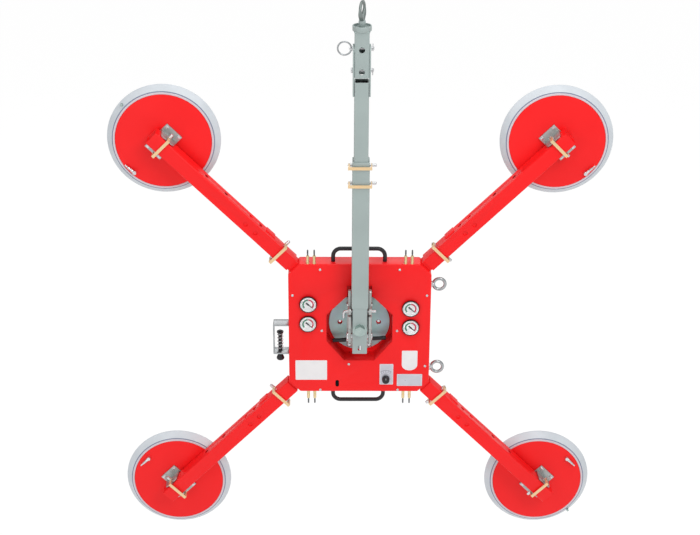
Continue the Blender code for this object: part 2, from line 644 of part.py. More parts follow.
def make_cover():
    """Folded sheet cover of the box with the well, gauge holes and corner openings."""
    cover = prism(box_outline(), BOX_FRONT, BOX_BACK, "Y")
    bm = bmesh.new()
    bm.from_mesh(cover.data)
    rim = [edge for edge in bm.edges if all(abs(v.co.y - BOX_FRONT) < 0.01 for v in edge.verts)]
    bmesh.ops.bevel(bm, geom=rim, offset=4.0, segments=2, profile=0.5, affect="EDGES")
    bm.to_mesh(cover.data)
    bm.free()
    cavity = prism(box_outline(SHEET), BOX_FRONT + SHEET, BOX_BACK + 5.0, "Y")
    cut(cavity, prism(well_outline(SHEET), BOX_FRONT - 5.0, BOX_BACK + 8.0, "Y"))
    cut(cover, cavity, prism(well_outline(), BOX_FRONT - 5.0, BOX_BACK + 8.0, "Y"))
    for x, z in GAUGES.values():
        cut(cover, rod(26.6, -100.0, -80.0, (x, 0.0, z), "Y", 16))
    cut(cover, rod(5.0, -100.0, -80.0, (KNOB_AT[0], 0.0, KNOB_AT[1]), "Y", 12))
    x, z = BATTERY_SLOT_AT
    cut(cover, block(x - 6.5, x + 6.5, -100.0, -80.0, z - 14.0, z + 14.0))
    for corner in CORNERS:
        passage = block(300.0, 400.0, -BEAM_HALF_T - 1.5, BEAM_HALF_T + 1.5,
                        ARM_Y - BEAM_HALF_Y - 1.5, ARM_Y + BEAM_HALF_Y + 9.0)
        cut(cover, moved(passage, corner_frame(corner)))
    for x in (-187.0, -163.5, 163.5, 187.0):
        weld(cover, hose_coupling(x, 1), hose_coupling(x, -1))
    return finish(cover, "front_cover", "red_paint", (0.0, BOX_FRONT, BOX_MID_Z))


def make_handles():
    """Two U-shaped carrying handles, above and below the box."""
    for label, side in (("lower", -1), ("upper", 1)):
        foot = BOX_HALF + CLEAR
        top = 306.5
        outline = [(-96.0, foot)] + arc((-68.0, top - 28.0), 28.0, 180.0, 90.0, 5)
        outline += arc((62.0, top - 28.0), 28.0, 90.0, 0.0, 5) + [(90.0, foot)]
        path = [(x, -58.0, BOX_MID_Z + side * z) for x, z in outline]
        place = (-3.0, -58.0, BOX_MID_Z + side * foot)
        finish(sweep(path, 7.5, 8), "carry_handle_" + label, "black_plastic", place)


def make_gauges():
    """Four round gauge cases and their needles."""
    for label, (x, z) in GAUGES.items():
        case = revolve([(0.0, -93.0), (25.2, -93.0), (26.0, -97.0), (28.6, -97.0), (30.0, -95.2),
                        (30.0, -88.3), (26.0, -88.3), (26.0, -62.0), (0.0, -62.0)],
                       (x, 0.0, z), "Y", 14)
        finish(case, "gauge_case_" + label, "dial_case", (x, BOX_FRONT, z))
        blade = prism(((-1.4, -7.0), (1.4, -7.0), (2.2, 0.0), (0.5, 20.0), (-0.5, 20.0), (-2.2, 0.0)),
                      -94.6, -93.8, "Y")
        hub = rod(3.2, -95.2, -93.4, (0, 0, 0), "Y", 6)
        needle = weld(blade, hub)
        moved(needle, Matrix.Translation((x, 0.0, z)) @ Matrix.Rotation(NEEDLE_ZERO, 4, "Y"))
        finish(needle, "gauge_needle_" + label, "needle_black", (x, -94.0, z))


def make_knob():
    """Selector knob with a raised pointer bar and a shaft through the cover."""
    knob = revolve([(0.0, -105.0), (11.5, -105.0), (13.2, -103.5), (14.5, -90.0), (14.5, -88.4),
                    (4.2, -88.4), (4.2, -76.0), (0.0, -76.0)], (0.0, 0.0, 0.0), "Y", 16)
    grip = soften(block(-2.8, 2.8, -106.0, -100.0, -11.0, 11.0), 0.8)
    weld(knob, grip)
    moved(knob, Matrix.Translation((KNOB_AT[0], 0.0, KNOB_AT[1])))
    return finish(knob, "selector_knob", "black_plastic", (KNOB_AT[0], -88.4, KNOB_AT[1]))


def make_catch():
    """Bracket, spring plunger and spring of the catch on the left side of the box."""
    x = -290.0
    y = -55.0
    outline = ((-258.0, -106.0), (-311.0, -106.0), (-315.0, -102.0), (-315.0, 9.0), (-311.0, 13.0),
               (-258.0, 13.0), (-258.0, 8.0), (-310.0, 8.0), (-310.0, -101.0), (-258.0, -101.0))
    bracket = prism(outline, -80.0, -30.0, "Y")
    cut(bracket, rod(7.5, -115.0, -95.0, (x, y, 0.0), "Z", 16))
    finish(bracket, "catch_bracket", "galvanised", (-258.0, y, -46.0))
    plunger = revolve([(0.0, -140.0), (9.0, -140.0), (13.5, -137.0), (14.5, -131.0), (11.0, -122.0),
                       (9.0, -117.0), (7.0, -117.0), (7.0, -28.0), (12.5, -28.0), (12.5, -23.5),
                       (7.0, -23.5), (7.0, -20.5), (6.0, -19.5), (0.0, -19.5)], (x, y, 0.0), "Z", 14)
    finish(plunger, "catch_plunger", "bright_steel", (x, y, -19.5))
    turns = 5
    per_turn = 8
    sides = 4
    low = -99.3
    high = -29.7
    bm = bmesh.new()
    rings = []
    for step in range(turns * per_turn + 1):
        angle = math.tau * step / per_turn
        height = low + (high - low) * step / (turns * per_turn)
        outward = Vector((math.cos(angle), math.sin(angle), 0.0))
        centre = Vector((x, y, height)) + outward * 10.2
        ring = []
        for corner in range(sides):
            around = math.tau * corner / sides
            lift = Vector((0.0, 0.0, math.sin(around) * 1.2))
            ring.append(bm.verts.new(centre + outward * (math.cos(around) * 1.2) + lift))
        rings.append(ring)
    for ring_a, ring_b in zip(rings, rings[1:]):
        for corner in range(sides):
            nxt = (corner + 1) % sides
            bm.faces.new((ring_a[corner], ring_a[nxt], ring_b[nxt], ring_b[corner]))
    bm.faces.new(list(reversed(rings[0])))
    bm.faces.new(rings[-1])
    return finish(link(bm, "coil"), "catch_spring", "bright_steel", (x, y, -101.0))


def make_eye_bolts():
    """Two lifting eyes on the right side of the box."""
    for label, z in (("upper", 168.0), ("lower", -168.0)):
        outline = arc((288.0, z), 21.0, 0.0, 340.0, 17)
        ring = sweep([(x, -56.0, height) for x, height in outline], 6.0, 8, closed=True)
        stem = revolve([(0.0, BOX_HALF + CLEAR), (13.0, BOX_HALF + CLEAR), (13.0, 262.0), (8.0, 264.5),
                        (7.0, 268.0), (0.0, 268.0)], (0.0, -56.0, z), "X", 12)
        finish(weld(ring, stem), "eye_bolt_" + label, "bright_steel", (BOX_HALF, -56.0, z))


def make_inside():
    """Battery pack, vacuum pump and vacuum tank inside the box."""
    pack = soften(block(-75.0, 75.0, -82.0, -24.0, 182.0, 247.0), 3.0)
    finish(pack, "battery_pack", "battery_case", (0.0, -53.0, 182.0))
    motor = revolve([(0.0, -20.0), (26.0, -20.0), (28.0, -18.0), (28.0, 56.0), (26.0, 58.0),
                     (8.0, 58.0), (8.0, 60.0), (0.0, 60.0)], (0.0, -53.0, -192.0), "X", 16)
    head = soften(block(-85.0, -19.0, -82.0, -24.0, -222.0, -162.0), 3.0)
    finish(weld(motor, head), "vacuum_pump", "pump_metal", (0.0, -53.0, -192.0))
    tank = revolve([(0.0, 140.0), (14.0, 140.0), (25.0, 145.0), (28.0, 152.0), (28.0, 228.0),
                    (25.0, 235.0), (14.0, 240.0), (0.0, 240.0)], (0.0, -50.0, -60.0), "X", 16)
    finish(tank, "vacuum_tank", "tank_paint", (140.0, -50.0, -60.0))


def make_arm(corner):
    """Sliding arm with its light holes, two wear pads and its two strap pins seated in it."""
    arm = moved(square_tube(ARM_HALF_T, ARM_HALF_Y, ARM_WALL, ARM_START, ARM_END), TO_ARM)
    for side in (-1, 1):
        low, high = sorted((side * (ARM_HALF_T - 1.0), side * (ARM_HALF_T + 3.0)))
        weld(arm, block(458.0, 499.0, low, high, -50.0, -14.0))
    for s in (ARM_PIN_S, CUP_S):
        weld(arm, moved(strap_pin(), Matrix.Translation((s, 0.0, ARM_Y))))
    for s in (527.0, 574.0, 695.5, 790.0):
        cut(arm, rod(8.5, -40.0, 40.0, (s, 0.0, ARM_Y), "Y", 8))
    for s in (527.5, 574.0):
        cut(arm, rod(8.5, ARM_Y - 40.0, ARM_Y - 20.0, (s, 0.0, 0.0), "Z", 8))
    return finish(arm, "arm_" + corner, "red_paint", (ARM_START, 0.0, ARM_Y), corner_frame(corner))


def make_arm_bails(corner):
    """Bails of the arm pin and of the cup pin, each with its origin on its own rivet."""
    for label, s in (("arm_bail_", ARM_PIN_S), ("cup_bail_", CUP_S)):
        bail = moved(strap_bail(), Matrix.Translation((s, 0.0, ARM_Y)))
        finish(bail, label + corner, "yellow_zinc", (s, BAIL_AXIS_T, ARM_Y), corner_frame(corner))


def make_bracket(corner):
    """Hat-shaped bracket that hangs the suction plate on its pin."""
    base = block(942.0, 1014.0, -58.0, 58.0, -6.3, -CLEAR)
    for side in (-1, 1):
        outline = [(944.0, -5.0)] + arc((961.0, -50.0), 11.0, 180.0, 270.0, 3)
        outline += arc((999.0, -50.0), 11.0, 270.0, 360.0, 3) + [(1013.0, -5.0)]
        low, high = sorted((side * 27.5, side * 32.5))
        cheek = prism([(s, w) for s, w in outline], 0.0, high - low, "Y")
        moved(cheek, Matrix.Translation((0.0, low, 0.0)))
        cut(cheek, rod(PIN_RADIUS + 0.6, -40.0, 40.0, (CUP_S, 0.0, ARM_Y), "Y", 10))
        weld(base, cheek)
    return finish(base, "cup_bracket_" + corner, "galvanised", (CUP_S, 0.0, ARM_Y),
                  corner_frame(corner))


def make_cup(corner):
    """Red suction plate with its hose nipple, and the soft seal around it."""
    frame = corner_frame(corner)
    pivot = (CUP_S, 0.0, ARM_Y)
    side_x, side_z = CORNERS[corner]
    base = Vector((side_x * 106.0, 0.0, -116.0)) if side_z > 0 else Vector((side_x * 111.0, 0.0, 98.0))
    end = base + Vector((side_x * 34.0, 0.0, 31.0 if side_z > 0 else -34.0))
    to_local = frame.to_3x3().transposed()
    centre = Vector((CUP_S, 0.0, 0.0))
    base = to_local @ base + centre
    end = to_local @ end + centre
    plate = revolve([(0.0, 0.0), (PLATE_RADIUS - 1.5, 0.0), (PLATE_RADIUS, 1.5),
                     (PLATE_RADIUS, PLATE_BODY), (0.0, PLATE_BODY)], (CUP_S, 0.0, 0.0), "Z", CUP_STEPS)
    foot = rod(7.0, -13.0, 2.0, (base.x, base.y, 0.0), "Z", 8)
    along = (end - base).normalized()
    lift = Vector((0.0, 0.0, -7.5))
    barrel = revolve([(0.0, 1.0), (4.6, 1.0), (4.6, 31.0), (3.2, 31.0), (3.2, 44.0), (0.0, 44.0)],
                     (0, 0, 0), "Z", 8)
    turn = Matrix.Translation(base + lift) @ along.to_track_quat("Z", "Y").to_matrix().to_4x4()
    weld(plate, foot, moved(barrel, turn))
    cut(plate, rod(2.6, -1.0, 15.0, (base.x, base.y, 0.0), "Z", 8))
    finish(plate, "suction_plate_" + corner, "red_paint", pivot, frame)
    seal = revolve(SEAL_PROFILE, (CUP_S, 0.0, 0.0), "Z", CUP_STEPS)
    finish(seal, "suction_seal_" + corner, "light_seal", pivot, frame)


def main():
    """Build every sub-part."""
    clear_scene()
    make_hook_eye()
    make_swivel_head()
    make_head_pins()
    make_pull_ring()
    make_mast_upper()
    make_mast_lower()
    make_stop_bolt()
    make_mast_bails()
    make_tilt_pivot()
    make_lock_pin()
    make_yoke()
    make_index_disc()
    make_index_plunger()
    make_chassis()
    make_cover()
    make_handles()
    make_gauges()
    make_knob()
    make_catch()
    make_eye_bolts()
    make_inside()
    for corner in CORNERS:
        make_arm(corner)
        make_arm_bails(corner)
        make_bracket(corner)
        make_cup(corner)


main()
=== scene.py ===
"""Dressed scene of the battery vacuum lifting beam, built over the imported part.

Lengths are millimetres in the drawing frame of the part: X to the right, Y into the depth
(suction side), Z up, with the turning axis of the chassis on x = 0, z = 0.
"""
import json
import math

import bmesh
import bpy
from mathutils import Matrix, Vector

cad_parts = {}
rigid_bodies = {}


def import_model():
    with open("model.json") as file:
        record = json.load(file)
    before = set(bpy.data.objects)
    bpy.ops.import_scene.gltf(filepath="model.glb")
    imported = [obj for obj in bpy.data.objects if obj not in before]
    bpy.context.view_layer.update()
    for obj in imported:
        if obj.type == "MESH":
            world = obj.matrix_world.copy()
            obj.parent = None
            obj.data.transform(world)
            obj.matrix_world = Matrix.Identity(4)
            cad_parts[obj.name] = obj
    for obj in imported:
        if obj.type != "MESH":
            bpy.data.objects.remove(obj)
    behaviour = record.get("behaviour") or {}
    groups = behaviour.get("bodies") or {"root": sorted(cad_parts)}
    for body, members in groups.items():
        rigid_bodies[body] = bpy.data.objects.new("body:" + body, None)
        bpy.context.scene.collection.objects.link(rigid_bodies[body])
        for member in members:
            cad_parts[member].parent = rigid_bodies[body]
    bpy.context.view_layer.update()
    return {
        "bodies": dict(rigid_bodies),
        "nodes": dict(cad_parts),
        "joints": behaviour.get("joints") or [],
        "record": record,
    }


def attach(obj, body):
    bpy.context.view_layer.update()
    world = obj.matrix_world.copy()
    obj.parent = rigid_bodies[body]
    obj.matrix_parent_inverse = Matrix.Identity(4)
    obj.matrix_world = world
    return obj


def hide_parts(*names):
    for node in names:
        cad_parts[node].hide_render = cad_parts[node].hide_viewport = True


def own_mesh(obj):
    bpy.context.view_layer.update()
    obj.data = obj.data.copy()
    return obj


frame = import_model()

MM = 0.001
CLEAR = 0.3

# Mast and head
MAST_Y = -140
EYE_BEARING_Z = 1225
ORIGIN = Vector((0, MAST_Y, EYE_BEARING_Z))
EYE_BAR = 5
EYE_RADIUS = 27
EYE_YAW = math.radians(16)
EYE_STEPS = 20
SWELL_LENGTH = 34
SWELL_SHARE = 0.75
SHANK_RADIUS = 12
JOURNAL_RADIUS = 10
CAP_RADIUS = 32.5
CAP_LOW = 1131.5
CAP_HIGH = 1150
CAP_FLOOR = 1142
HEAD_TUBE_LOW = 973.8
UPPER_SIZE = 50
UPPER_WALL = 4
UPPER_LOW = 430
UPPER_HIGH = 958
PLATE_LOW = 909
PLATE_THICK = 5
HEAD_PIN_Z = (1070.5, 994.7)
HEAD_PIN_RADIUS = 7
RING_HINGE_X = -35.65
RING_RADIUS = 22.75
RING_BAR = 2.25
LOWER_SIZE = 60
LOWER_WALL = 4.5
LOWER_LOW = -58.7
LOWER_HIGH = 675
FOOT_HALF_X = 26.5
FOOT_HALF_Y = 28.5
FOOT_TOP = 122.6
MAST_PIN_Z = (656, 589.5)
MAST_TRAVEL = 130
STOP_BOLT_Z = 36.5
STOP_BOLT_RADIUS = 12
STOP_BOLT_FLATS = 36
FOOT_SLOT_Z = -36
LOCK_PIN_Z = 97.6
LOCK_PIN_RADIUS = 4.5
PIVOT_RADIUS = 10

# Yoke, index disc and plunger
YOKE_PLATE = (-46, 46, -39, -27.3, -95, 105)
CHEEK_INNER = 31.5
CHEEK_OUTER = 41.5
SHAFT_RADIUS = 15
DISC_RADIUS = 111.5
DISC_FRONT = -27
DISC_BACK = -18.3
INDEX_CIRCLE = 71
INDEX_PIN_RADIUS = 9
CROSS_ROD_Y = -54
CROSS_ROD_Z = -56.6
CROSS_ROD_TILT = math.radians(3.2)
GRIP_GROOVES = 12
GRIP_PITCH = 3.6

# Box and frame
BOX_HALF = 257.5
BOX_MID_Z = 1
BOX_CHAMFER = 41
BOX_FRONT = -88
BOX_BACK = -20.3
SHEET = 3
BACK_PLATE_FRONT = -18
BACK_PLATE_BACK = -12
ARM_Y = -42.5
BEAM_HALF_T = 22
BEAM_HALF_Y = 26
GAUGES = {
    "upper_left": (-186, 101.5),
    "lower_left": (-187, 23),
    "upper_right": (185, 85),
    "lower_right": (186, 9.5),
}
NEEDLE_ZERO = math.radians(132)
DIAL_START = -42
DIAL_SPAN = 264
DIAL_TICKS = 20
TICK_END = 23.6
HANDLE_BEND = 28
HANDLE_TOP = 306.5
EYE_BOLT_AT = (288, -56)
EYE_BOLT_RADIUS = 21
CATCH_AT = (-290, -55)
SPRING_LOW = -101
SPRING_HIGH = -28
KNOB_AT = (98.5, -204)
SCALE_ENDS = (57, 123)
BATTERY_SLOT_AT = (-80.6, -222.5)
COVER_SCREWS = ((-142.5, 238), (142.5, 238), (-242.5, 136), (242.5, 136), (-137, -6), (137, -6),
    (-38, -142.5), (242, -150), (-143, -249), (143, -249))

# Arms, pins and cups
ARM_HALF_T = 26
ARM_HALF_Y = 30
ARM_WALL = 3.5
ARM_START = 348
ARM_END = 1029
ARM_PIN_S = 411.5
CUP_S = 978.6
CUP_CENTRE = (CUP_S, 0, 0)
PIN_RADIUS = 6
PIN_TIP = 54.6
BAIL_AXIS_T = -41
BAIL_WIDTH = 11
BAIL_REACH = 38.2
PLATE_RADIUS = 170
PLATE_BODY = 8
CORNERS = {
    "top_left": (-1, 1),
    "top_right": (1, 1),
    "bottom_right": (1, -1),
    "bottom_left": (-1, -1),
}

# Share of an inset or a growth by which a leg at 45 degrees gets shorter, or a corner moves
LEG_SHARE = 0.586
CORNER_SHARE = 0.414

# Finishes: edge angle of smooth shading, range of the noise that is used, and where edges are lightened,
# partly as wear and partly as a painted edge highlight
SHADE_ANGLE = math.radians(34)
NOISE_RANGE = (0.3, 0.7)
EDGE_WEAR_AND_HIGHLIGHT_RANGE = (0.53, 0.62)
FLAKE_SHARE = 0.3
FLAKE_GAIN = 1.35
WHITE = (1, 1, 1, 1)

# Stage in metres: floor, world light, and the lamps as name, place, aim, size and power
FLOOR_HALF = 30
FLOOR_AT = (0, 6, -2.45)
FLOOR_GREY = (0.93, 0.93, 0.93, 1)
FLOOR_GLOW = 1.08
GLOW_SHARE = 0.82
WORLD_LIGHT = 0.62
LIGHTS = (
    ("key_light", (2.4, -3.8, 2.6), (0, 0, -1.1), 2, 85),
    ("fill_light", (-3.2, -4, 0.4), (0, 0, -1.2), 3, 35),
    ("top_light", (0.2, -0.6, 3), (0, 0, -1.2), 3, 45),
    ("back_light", (0, 4.5, 1.5), (0, 0, -1.2), 3, 25),
)
CAMERA_LENS = 81.716
CAMERA_AT = Matrix((
    (0.99996177, -0.00147927, -0.00861777, -0.084519),
    (-0.00725966, 0.40888014, -0.91255922, -5.13302),
    (0.00487355, 0.9125869, 0.40885377, 1.344646),
    (0, 0, 0, 1),
))

# Turns of a piece drawn about Z, and where tubes drawn along Z go
AXIS_TURN = {
    "X": Matrix(((0, 0, 1), (1, 0, 0), (0, 1, 0))),
    "Y": Matrix(((0, 1, 0), (0, 0, 1), (1, 0, 0))),
    "Z": Matrix.Identity(3),
}
MAST_LINE = (0, MAST_Y, 0)
TO_MAST = Matrix.Translation(MAST_LINE)
TO_ARM = Matrix.Translation((0, 0, ARM_Y)) @ AXIS_TURN["X"].to_4x4()

# Finishes by name and the material slot of each, filled by surface()
PAINTS = {}


def enter(name, data):
    """Put new data into the scene as an object."""
    obj = bpy.data.objects.new(name, data)
    bpy.context.collection.objects.link(obj)
    return obj


def link(bm, label):
    """Put a finished bmesh into the scene as a new object."""
    bmesh.ops.recalc_face_normals(bm, faces=bm.faces[:])
    mesh = bpy.data.meshes.new(label)
    bm.to_mesh(mesh)
    bm.free()
    return enter(label, mesh)


def prism(outline, low, high, axis):
    """Extrude a flat outline from low to high along X, Y or Z."""
    along = "XYZ".index(axis)
    bm = bmesh.new()
    face = bm.faces.new([bm.verts.new((*point[:along], low, *point[along:])) for point in outline])
    made = bmesh.ops.extrude_face_region(bm, geom=[face])
    raised = [item for item in made["geom"] if isinstance(item, bmesh.types.BMVert)]
    push = Vector()
    push[along] = high - low
    bmesh.ops.translate(bm, verts=raised, vec=push)
    return link(bm, "prism")


def block(x0, x1, y0, y1, z0, z1):
    """A plain rectangular block."""
    return prism(((x0, y0), (x1, y0), (x1, y1), (x0, y1)), z0, z1, "Z")


def revolve(profile, steps, axis="Z", centre=(0, 0, 0)):
    """Spin a profile of (radius, height) points about an axis through centre."""
    bm = bmesh.new()
    points = [bm.verts.new((radius, 0, height)) for radius, height in profile]
    edges = [bm.edges.new((a, b)) for a, b in zip(points, points[1:])]
    if min(radius for radius, height in profile) > 0:
        edges.append(bm.edges.new((points[-1], points[0])))
    bmesh.ops.spin(bm, geom=points + edges, cent=(0, 0, 0), axis=(0, 0, 1), dvec=(0, 0, 0), angle=math.tau,
        steps=steps, use_merge=True, use_duplicate=False)
    bmesh.ops.remove_doubles(bm, verts=bm.verts[:], dist=0.0001)
    half_step = Matrix.Rotation(math.pi / steps, 4, "Z")
    bmesh.ops.transform(bm, matrix=Matrix.Translation(centre) @ AXIS_TURN[axis].to_4x4() @ half_step,
        verts=bm.verts[:])
    return link(bm, "revolve")


def rod(radius, low, high, steps, axis="Z", centre=(0, 0, 0), chamfer=0):
    """A round rod between two heights, with optional chamfered ends."""
    profile = [(0, low), (radius, low), (radius, high), (0, high)]
    if chamfer > 0:
        profile = [(0, low), (radius - chamfer, low), (radius, low + chamfer), (radius, high - chamfer),
            (radius - chamfer, high), (0, high)]
    return revolve(profile, steps, axis, centre)


def hexagon(flats, low, high):
    """A hexagon bar across the given flats, standing along Z."""
    radius = flats / math.sqrt(3)
    return revolve([(0, low), (radius, low), (radius, high), (0, high)], 6)


def skin(bm, rings, closed=False):
    """Join rings of points into a tube, with a cap at each open end."""
    pairs = list(zip(rings, rings[1:]))
    if closed:
        pairs.append((rings[-1], rings[0]))
    for ring_a, ring_b in pairs:
        for step in range(len(ring_a)):
            after = (step + 1) % len(ring_a)
            bm.faces.new((ring_a[step], ring_a[after], ring_b[after], ring_b[step]))
    if not closed:
        bm.faces.new(list(reversed(rings[0])))
        bm.faces.new(rings[-1])
    return link(bm, "tube")


def sweep(path, radius, steps, closed=False):
    """Sweep a round section along a path that lies in one plane."""
    points = [Vector(point) for point in path]
    count = len(points)
    middle = sum(points, Vector()) / count
    normal = Vector()
    for a, b in zip(points, points[1:]):
        normal += (a - middle).cross(b - middle)
    normal.normalize()
    bm = bmesh.new()
    rings = []
    for index, point in enumerate(points):
        before = points[index - 1] if closed or index else point
        after = points[(index + 1) % count] if closed or index < count - 1 else point
        along_in = (point - before).normalized() if before != point else Vector()
        along_out = (after - point).normalized() if after != point else Vector()
        along = (along_in + along_out).normalized()
        side = normal.cross(along)
        lean = max(0.5, along.dot(along_in if along_in.length else along_out))
        ring = []
        for step in range(steps):
            angle = math.tau * (step + 0.5) / steps
            offset = side * (math.cos(angle) / lean) + normal * math.sin(angle)
            ring.append(bm.verts.new(point + offset * radius))
        rings.append(ring)
    return skin(bm, rings, closed)


def arc(centre, radius, start, end, steps):
    """Points of an arc in degrees, counted from the first axis to the second."""
    points = []
    for step in range(steps + 1):
        angle = math.radians(start + (end - start) * step / steps)
        points.append((centre[0] + radius * math.cos(angle), centre[1] + radius * math.sin(angle)))
    return points


def bake(obj):
    """Apply the object's modifiers to its mesh."""
    graph = bpy.context.evaluated_depsgraph_get()
    mesh = bpy.data.meshes.new_from_object(obj.evaluated_get(graph))
    old = obj.data
    obj.modifiers.clear()
    obj.data = mesh
    bpy.data.meshes.remove(old)
    return obj


def combine(target, other, operation):
    """One exact Boolean between two bodies; the second one is used up."""
    step = target.modifiers.new("combine", "BOOLEAN")
    step.operation = operation
    step.solver = "EXACT"
    step.object = other
    bake(target)
    bpy.data.objects.remove(other)
    return target


def weld(target, *others):
    """Union of several bodies."""
    for other in others:
        combine(target, other, "UNION")
    return target


def cut(target, *others):
    """Subtract several bodies."""
    for other in others:
        combine(target, other, "DIFFERENCE")
    return target


def soften(obj, width, segments=1, angle=40):
    """Bevel the sharp edges of a body."""
    step = obj.modifiers.new("soften", "BEVEL")
    step.width = width
    step.segments = segments
    step.limit_method = "ANGLE"
    step.angle_limit = math.radians(angle)
    step.use_clamp_overlap = True
    return bake(obj)


def moved(obj, matrix):
    """Move the mesh of a body by a matrix."""
    obj.data.transform(matrix)
    if matrix.determinant() < 0:
        obj.data.flip_normals()
    obj.data.update()
    return obj


def rounded_outline(half_a, half_b, radius, steps, centre=(0, 0)):
    """Outline of a rectangle with rounded corners."""
    points = []
    for side_a, side_b, start in ((1, 1, 0), (-1, 1, 90), (-1, -1, 180), (1, -1, 270)):
        middle = (centre[0] + side_a * (half_a - radius), centre[1] + side_b * (half_b - radius))
        points += arc(middle, radius, start, start + 90, steps)
    return points


def band(centre, outer, inner, start, end, steps):
    """Outline of a sector of a flat ring."""
    return arc(centre, outer, start, end, steps) + arc(centre, inner, start, end, steps)[::-1]


def slot_outline(x, z, half, radius, steps):
    """Outline of an upright slot with round ends."""
    return arc((x, z + half), radius, 0, 180, steps) + arc((x, z - half), radius, 180, 360, steps)


def mast_pin_frame(height):
    """Frame of a mast pin: second axis to its tip on the right, third axis to the back."""
    axes = (Vector((0, 0, 1)), Vector((1, 0, 0)), Vector((0, 1, 0)))
    frame = Matrix(axes).transposed().to_4x4()
    frame.translation = (0, MAST_Y, height)
    return frame


def corner_frame(corner):
    """Frame of one corner: first axis along the arm, second to the pin tips, third back."""
    side_x, side_z = CORNERS[corner]
    along = Vector((side_x, 0, side_z)).normalized()
    tip = Vector((side_z, 0, -side_x)).normalized()
    return Matrix((along, tip, Vector((0, 1, 0)))).transposed().to_4x4()


def cheek_outline():
    """Side view of a yoke cheek as (depth, height) points."""
    front = MAST_Y - 30
    return [
        (-36, -48), (-70, -48), (-128, -32), (front + 15, -22), (front + 15, 32),
        (front + 3, 38), (front, 42), (front, 112), (front + 5, 117.6), (-137, 117.6),
        (-136, 168), (-131, 174.3), (-117, 174.3), (-112, 168), (-110, 118),
        (-96, 100), (-36, 100),
    ]


def box_outline(inset=0):
    """Front view of the box with chamfered corners."""
    half = BOX_HALF - inset
    low = BOX_MID_Z - half
    high = BOX_MID_Z + half
    leg = BOX_CHAMFER - inset * LEG_SHARE
    return [(-half + leg, low), (half - leg, low), (half, low + leg), (half, high - leg),
        (half - leg, high), (-half + leg, high), (-half, high - leg), (-half, low + leg)]


def well_outline(grow=0):
    """Front view of the well and the mast slot above it."""
    corner = grow * CORNER_SHARE
    return [(-120 - grow, -49 - corner), (-55.5 - corner, -127.5 - grow), (55.5 + corner, -127.5 - grow),
        (120 + grow, -49 - corner), (120 + grow, 58 + corner), (49 + corner, 130 + grow),
        (44.1 + grow, 130 + grow), (44.1 + grow, 173.8 + grow), (-45.9 - grow, 173.8 + grow),
        (-45.9 - grow, 130 + grow), (-49 - corner, 130 + grow), (-120 - grow, 58 + corner)]


def feed(tree, shader, inputs):
    """Set inputs of a shader node; an output given as a value is wired in."""
    for key, value in inputs.items():
        if hasattr(value, "links"):
            tree.links.new(value, shader.inputs[key])
        else:
            shader.inputs[key].default_value = value
    return shader


def node(tree, kind, inputs=None, **attributes):
    """Add a shader node with its attributes and inputs."""
    made = tree.nodes.new(kind)
    for key, value in attributes.items():
        setattr(made, key, value)
    return feed(tree, made, inputs or {})


def product(tree, first, second):
    """Multiply two values; each may be a number or an output."""
    return node(tree, "ShaderNodeMath", {0: first, 1: second}, operation="MULTIPLY").outputs[0]


def either(tree, first, second):
    """One where at least one of two outputs is one."""
    return node(tree, "ShaderNodeMath", {0: first, 1: second}, operation="ADD", use_clamp=True).outputs[0]


def mottled(tree, place, scale, detail, low, high):
    """A noise field mapped to the range low to high."""
    noise = node(tree, "ShaderNodeTexNoise", {"Vector": place, "Scale": scale, "Detail": detail})
    span = {"From Min": NOISE_RANGE[0], "From Max": NOISE_RANGE[1], "To Min": low, "To Max": high}
    return node(tree, "ShaderNodeMapRange", {"Value": noise.outputs["Fac"], **span}).outputs["Result"]


def blend(tree, factor, *colours):
    """Mix two colours; each may be a colour or an output."""
    first, second = (value if hasattr(value, "links") else (*value, 1) for value in colours)
    inputs = {"Factor": factor, 6: first, 7: second}
    return node(tree, "ShaderNodeMix", inputs, data_type="RGBA", clamp_factor=True).outputs[2]


def surface(name, first, second, rough, metallic=0, coat=0, patch=30, grain=900, bump=0.05,
        edge=None, cells=0, brushed=None, sheen=0, specular=0.5):
    """Make a finish with colour patches, grain, uneven gloss and optional lightened edges, partly wear and
    partly a painted edge highlight; gives its tree.
    """
    made = bpy.data.materials.new(name)
    made.use_nodes = True
    tree = made.node_tree
    place = node(tree, "ShaderNodeTexCoord").outputs["Object"]
    colour = blend(tree, mottled(tree, place, patch, 5, 0, 1), first, second)
    if cells:
        flakes = node(tree, "ShaderNodeTexVoronoi", {"Scale": cells, "Vector": place})
        grey = node(tree, "ShaderNodeSeparateColor", {"Color": flakes.outputs["Color"]})
        lighter = tuple(min(1, value * FLAKE_GAIN) for value in second)
        colour = blend(tree, product(tree, grey.outputs["Red"], FLAKE_SHARE), colour, lighter)
    # Convex edges, found by pointiness, are lightened in patches: partly wear, partly a painted edge
    # highlight
    if edge:
        point = node(tree, "ShaderNodeNewGeometry").outputs["Pointiness"]
        limits = {"From Min": EDGE_WEAR_AND_HIGHLIGHT_RANGE[0], "From Max": EDGE_WEAR_AND_HIGHLIGHT_RANGE[1]}
        wear_and_highlight = node(tree, "ShaderNodeMapRange", {"Value": point, **limits}).outputs["Result"]
        colour = blend(tree, product(tree, wear_and_highlight, mottled(tree, place, 60, 3, 0, 0.6)), colour, edge)
    grain_place = place
    if brushed:
        stretch = node(tree, "ShaderNodeMapping", {"Scale": brushed, "Vector": place})
        grain_place = stretch.outputs["Vector"]
    fine = node(tree, "ShaderNodeTexNoise", {"Scale": grain, "Detail": 3, "Vector": grain_place})
    height = fine.outputs["Fac"]
    relief = node(tree, "ShaderNodeBump", {"Strength": bump, "Distance": MM, "Height": height})
    gloss = mottled(tree, place, patch * 3, 4, rough * 0.8, rough * 1.25)
    feed(tree, tree.nodes["Principled BSDF"], {
        "Base Color": colour, "Roughness": gloss, "Normal": relief.outputs["Normal"], "Metallic": metallic,
        "Coat Weight": coat, "Coat Roughness": 0.12, "Sheen Weight": sheen, "Specular IOR Level": specular,
    })
    PAINTS[name] = made
    return made.node_tree
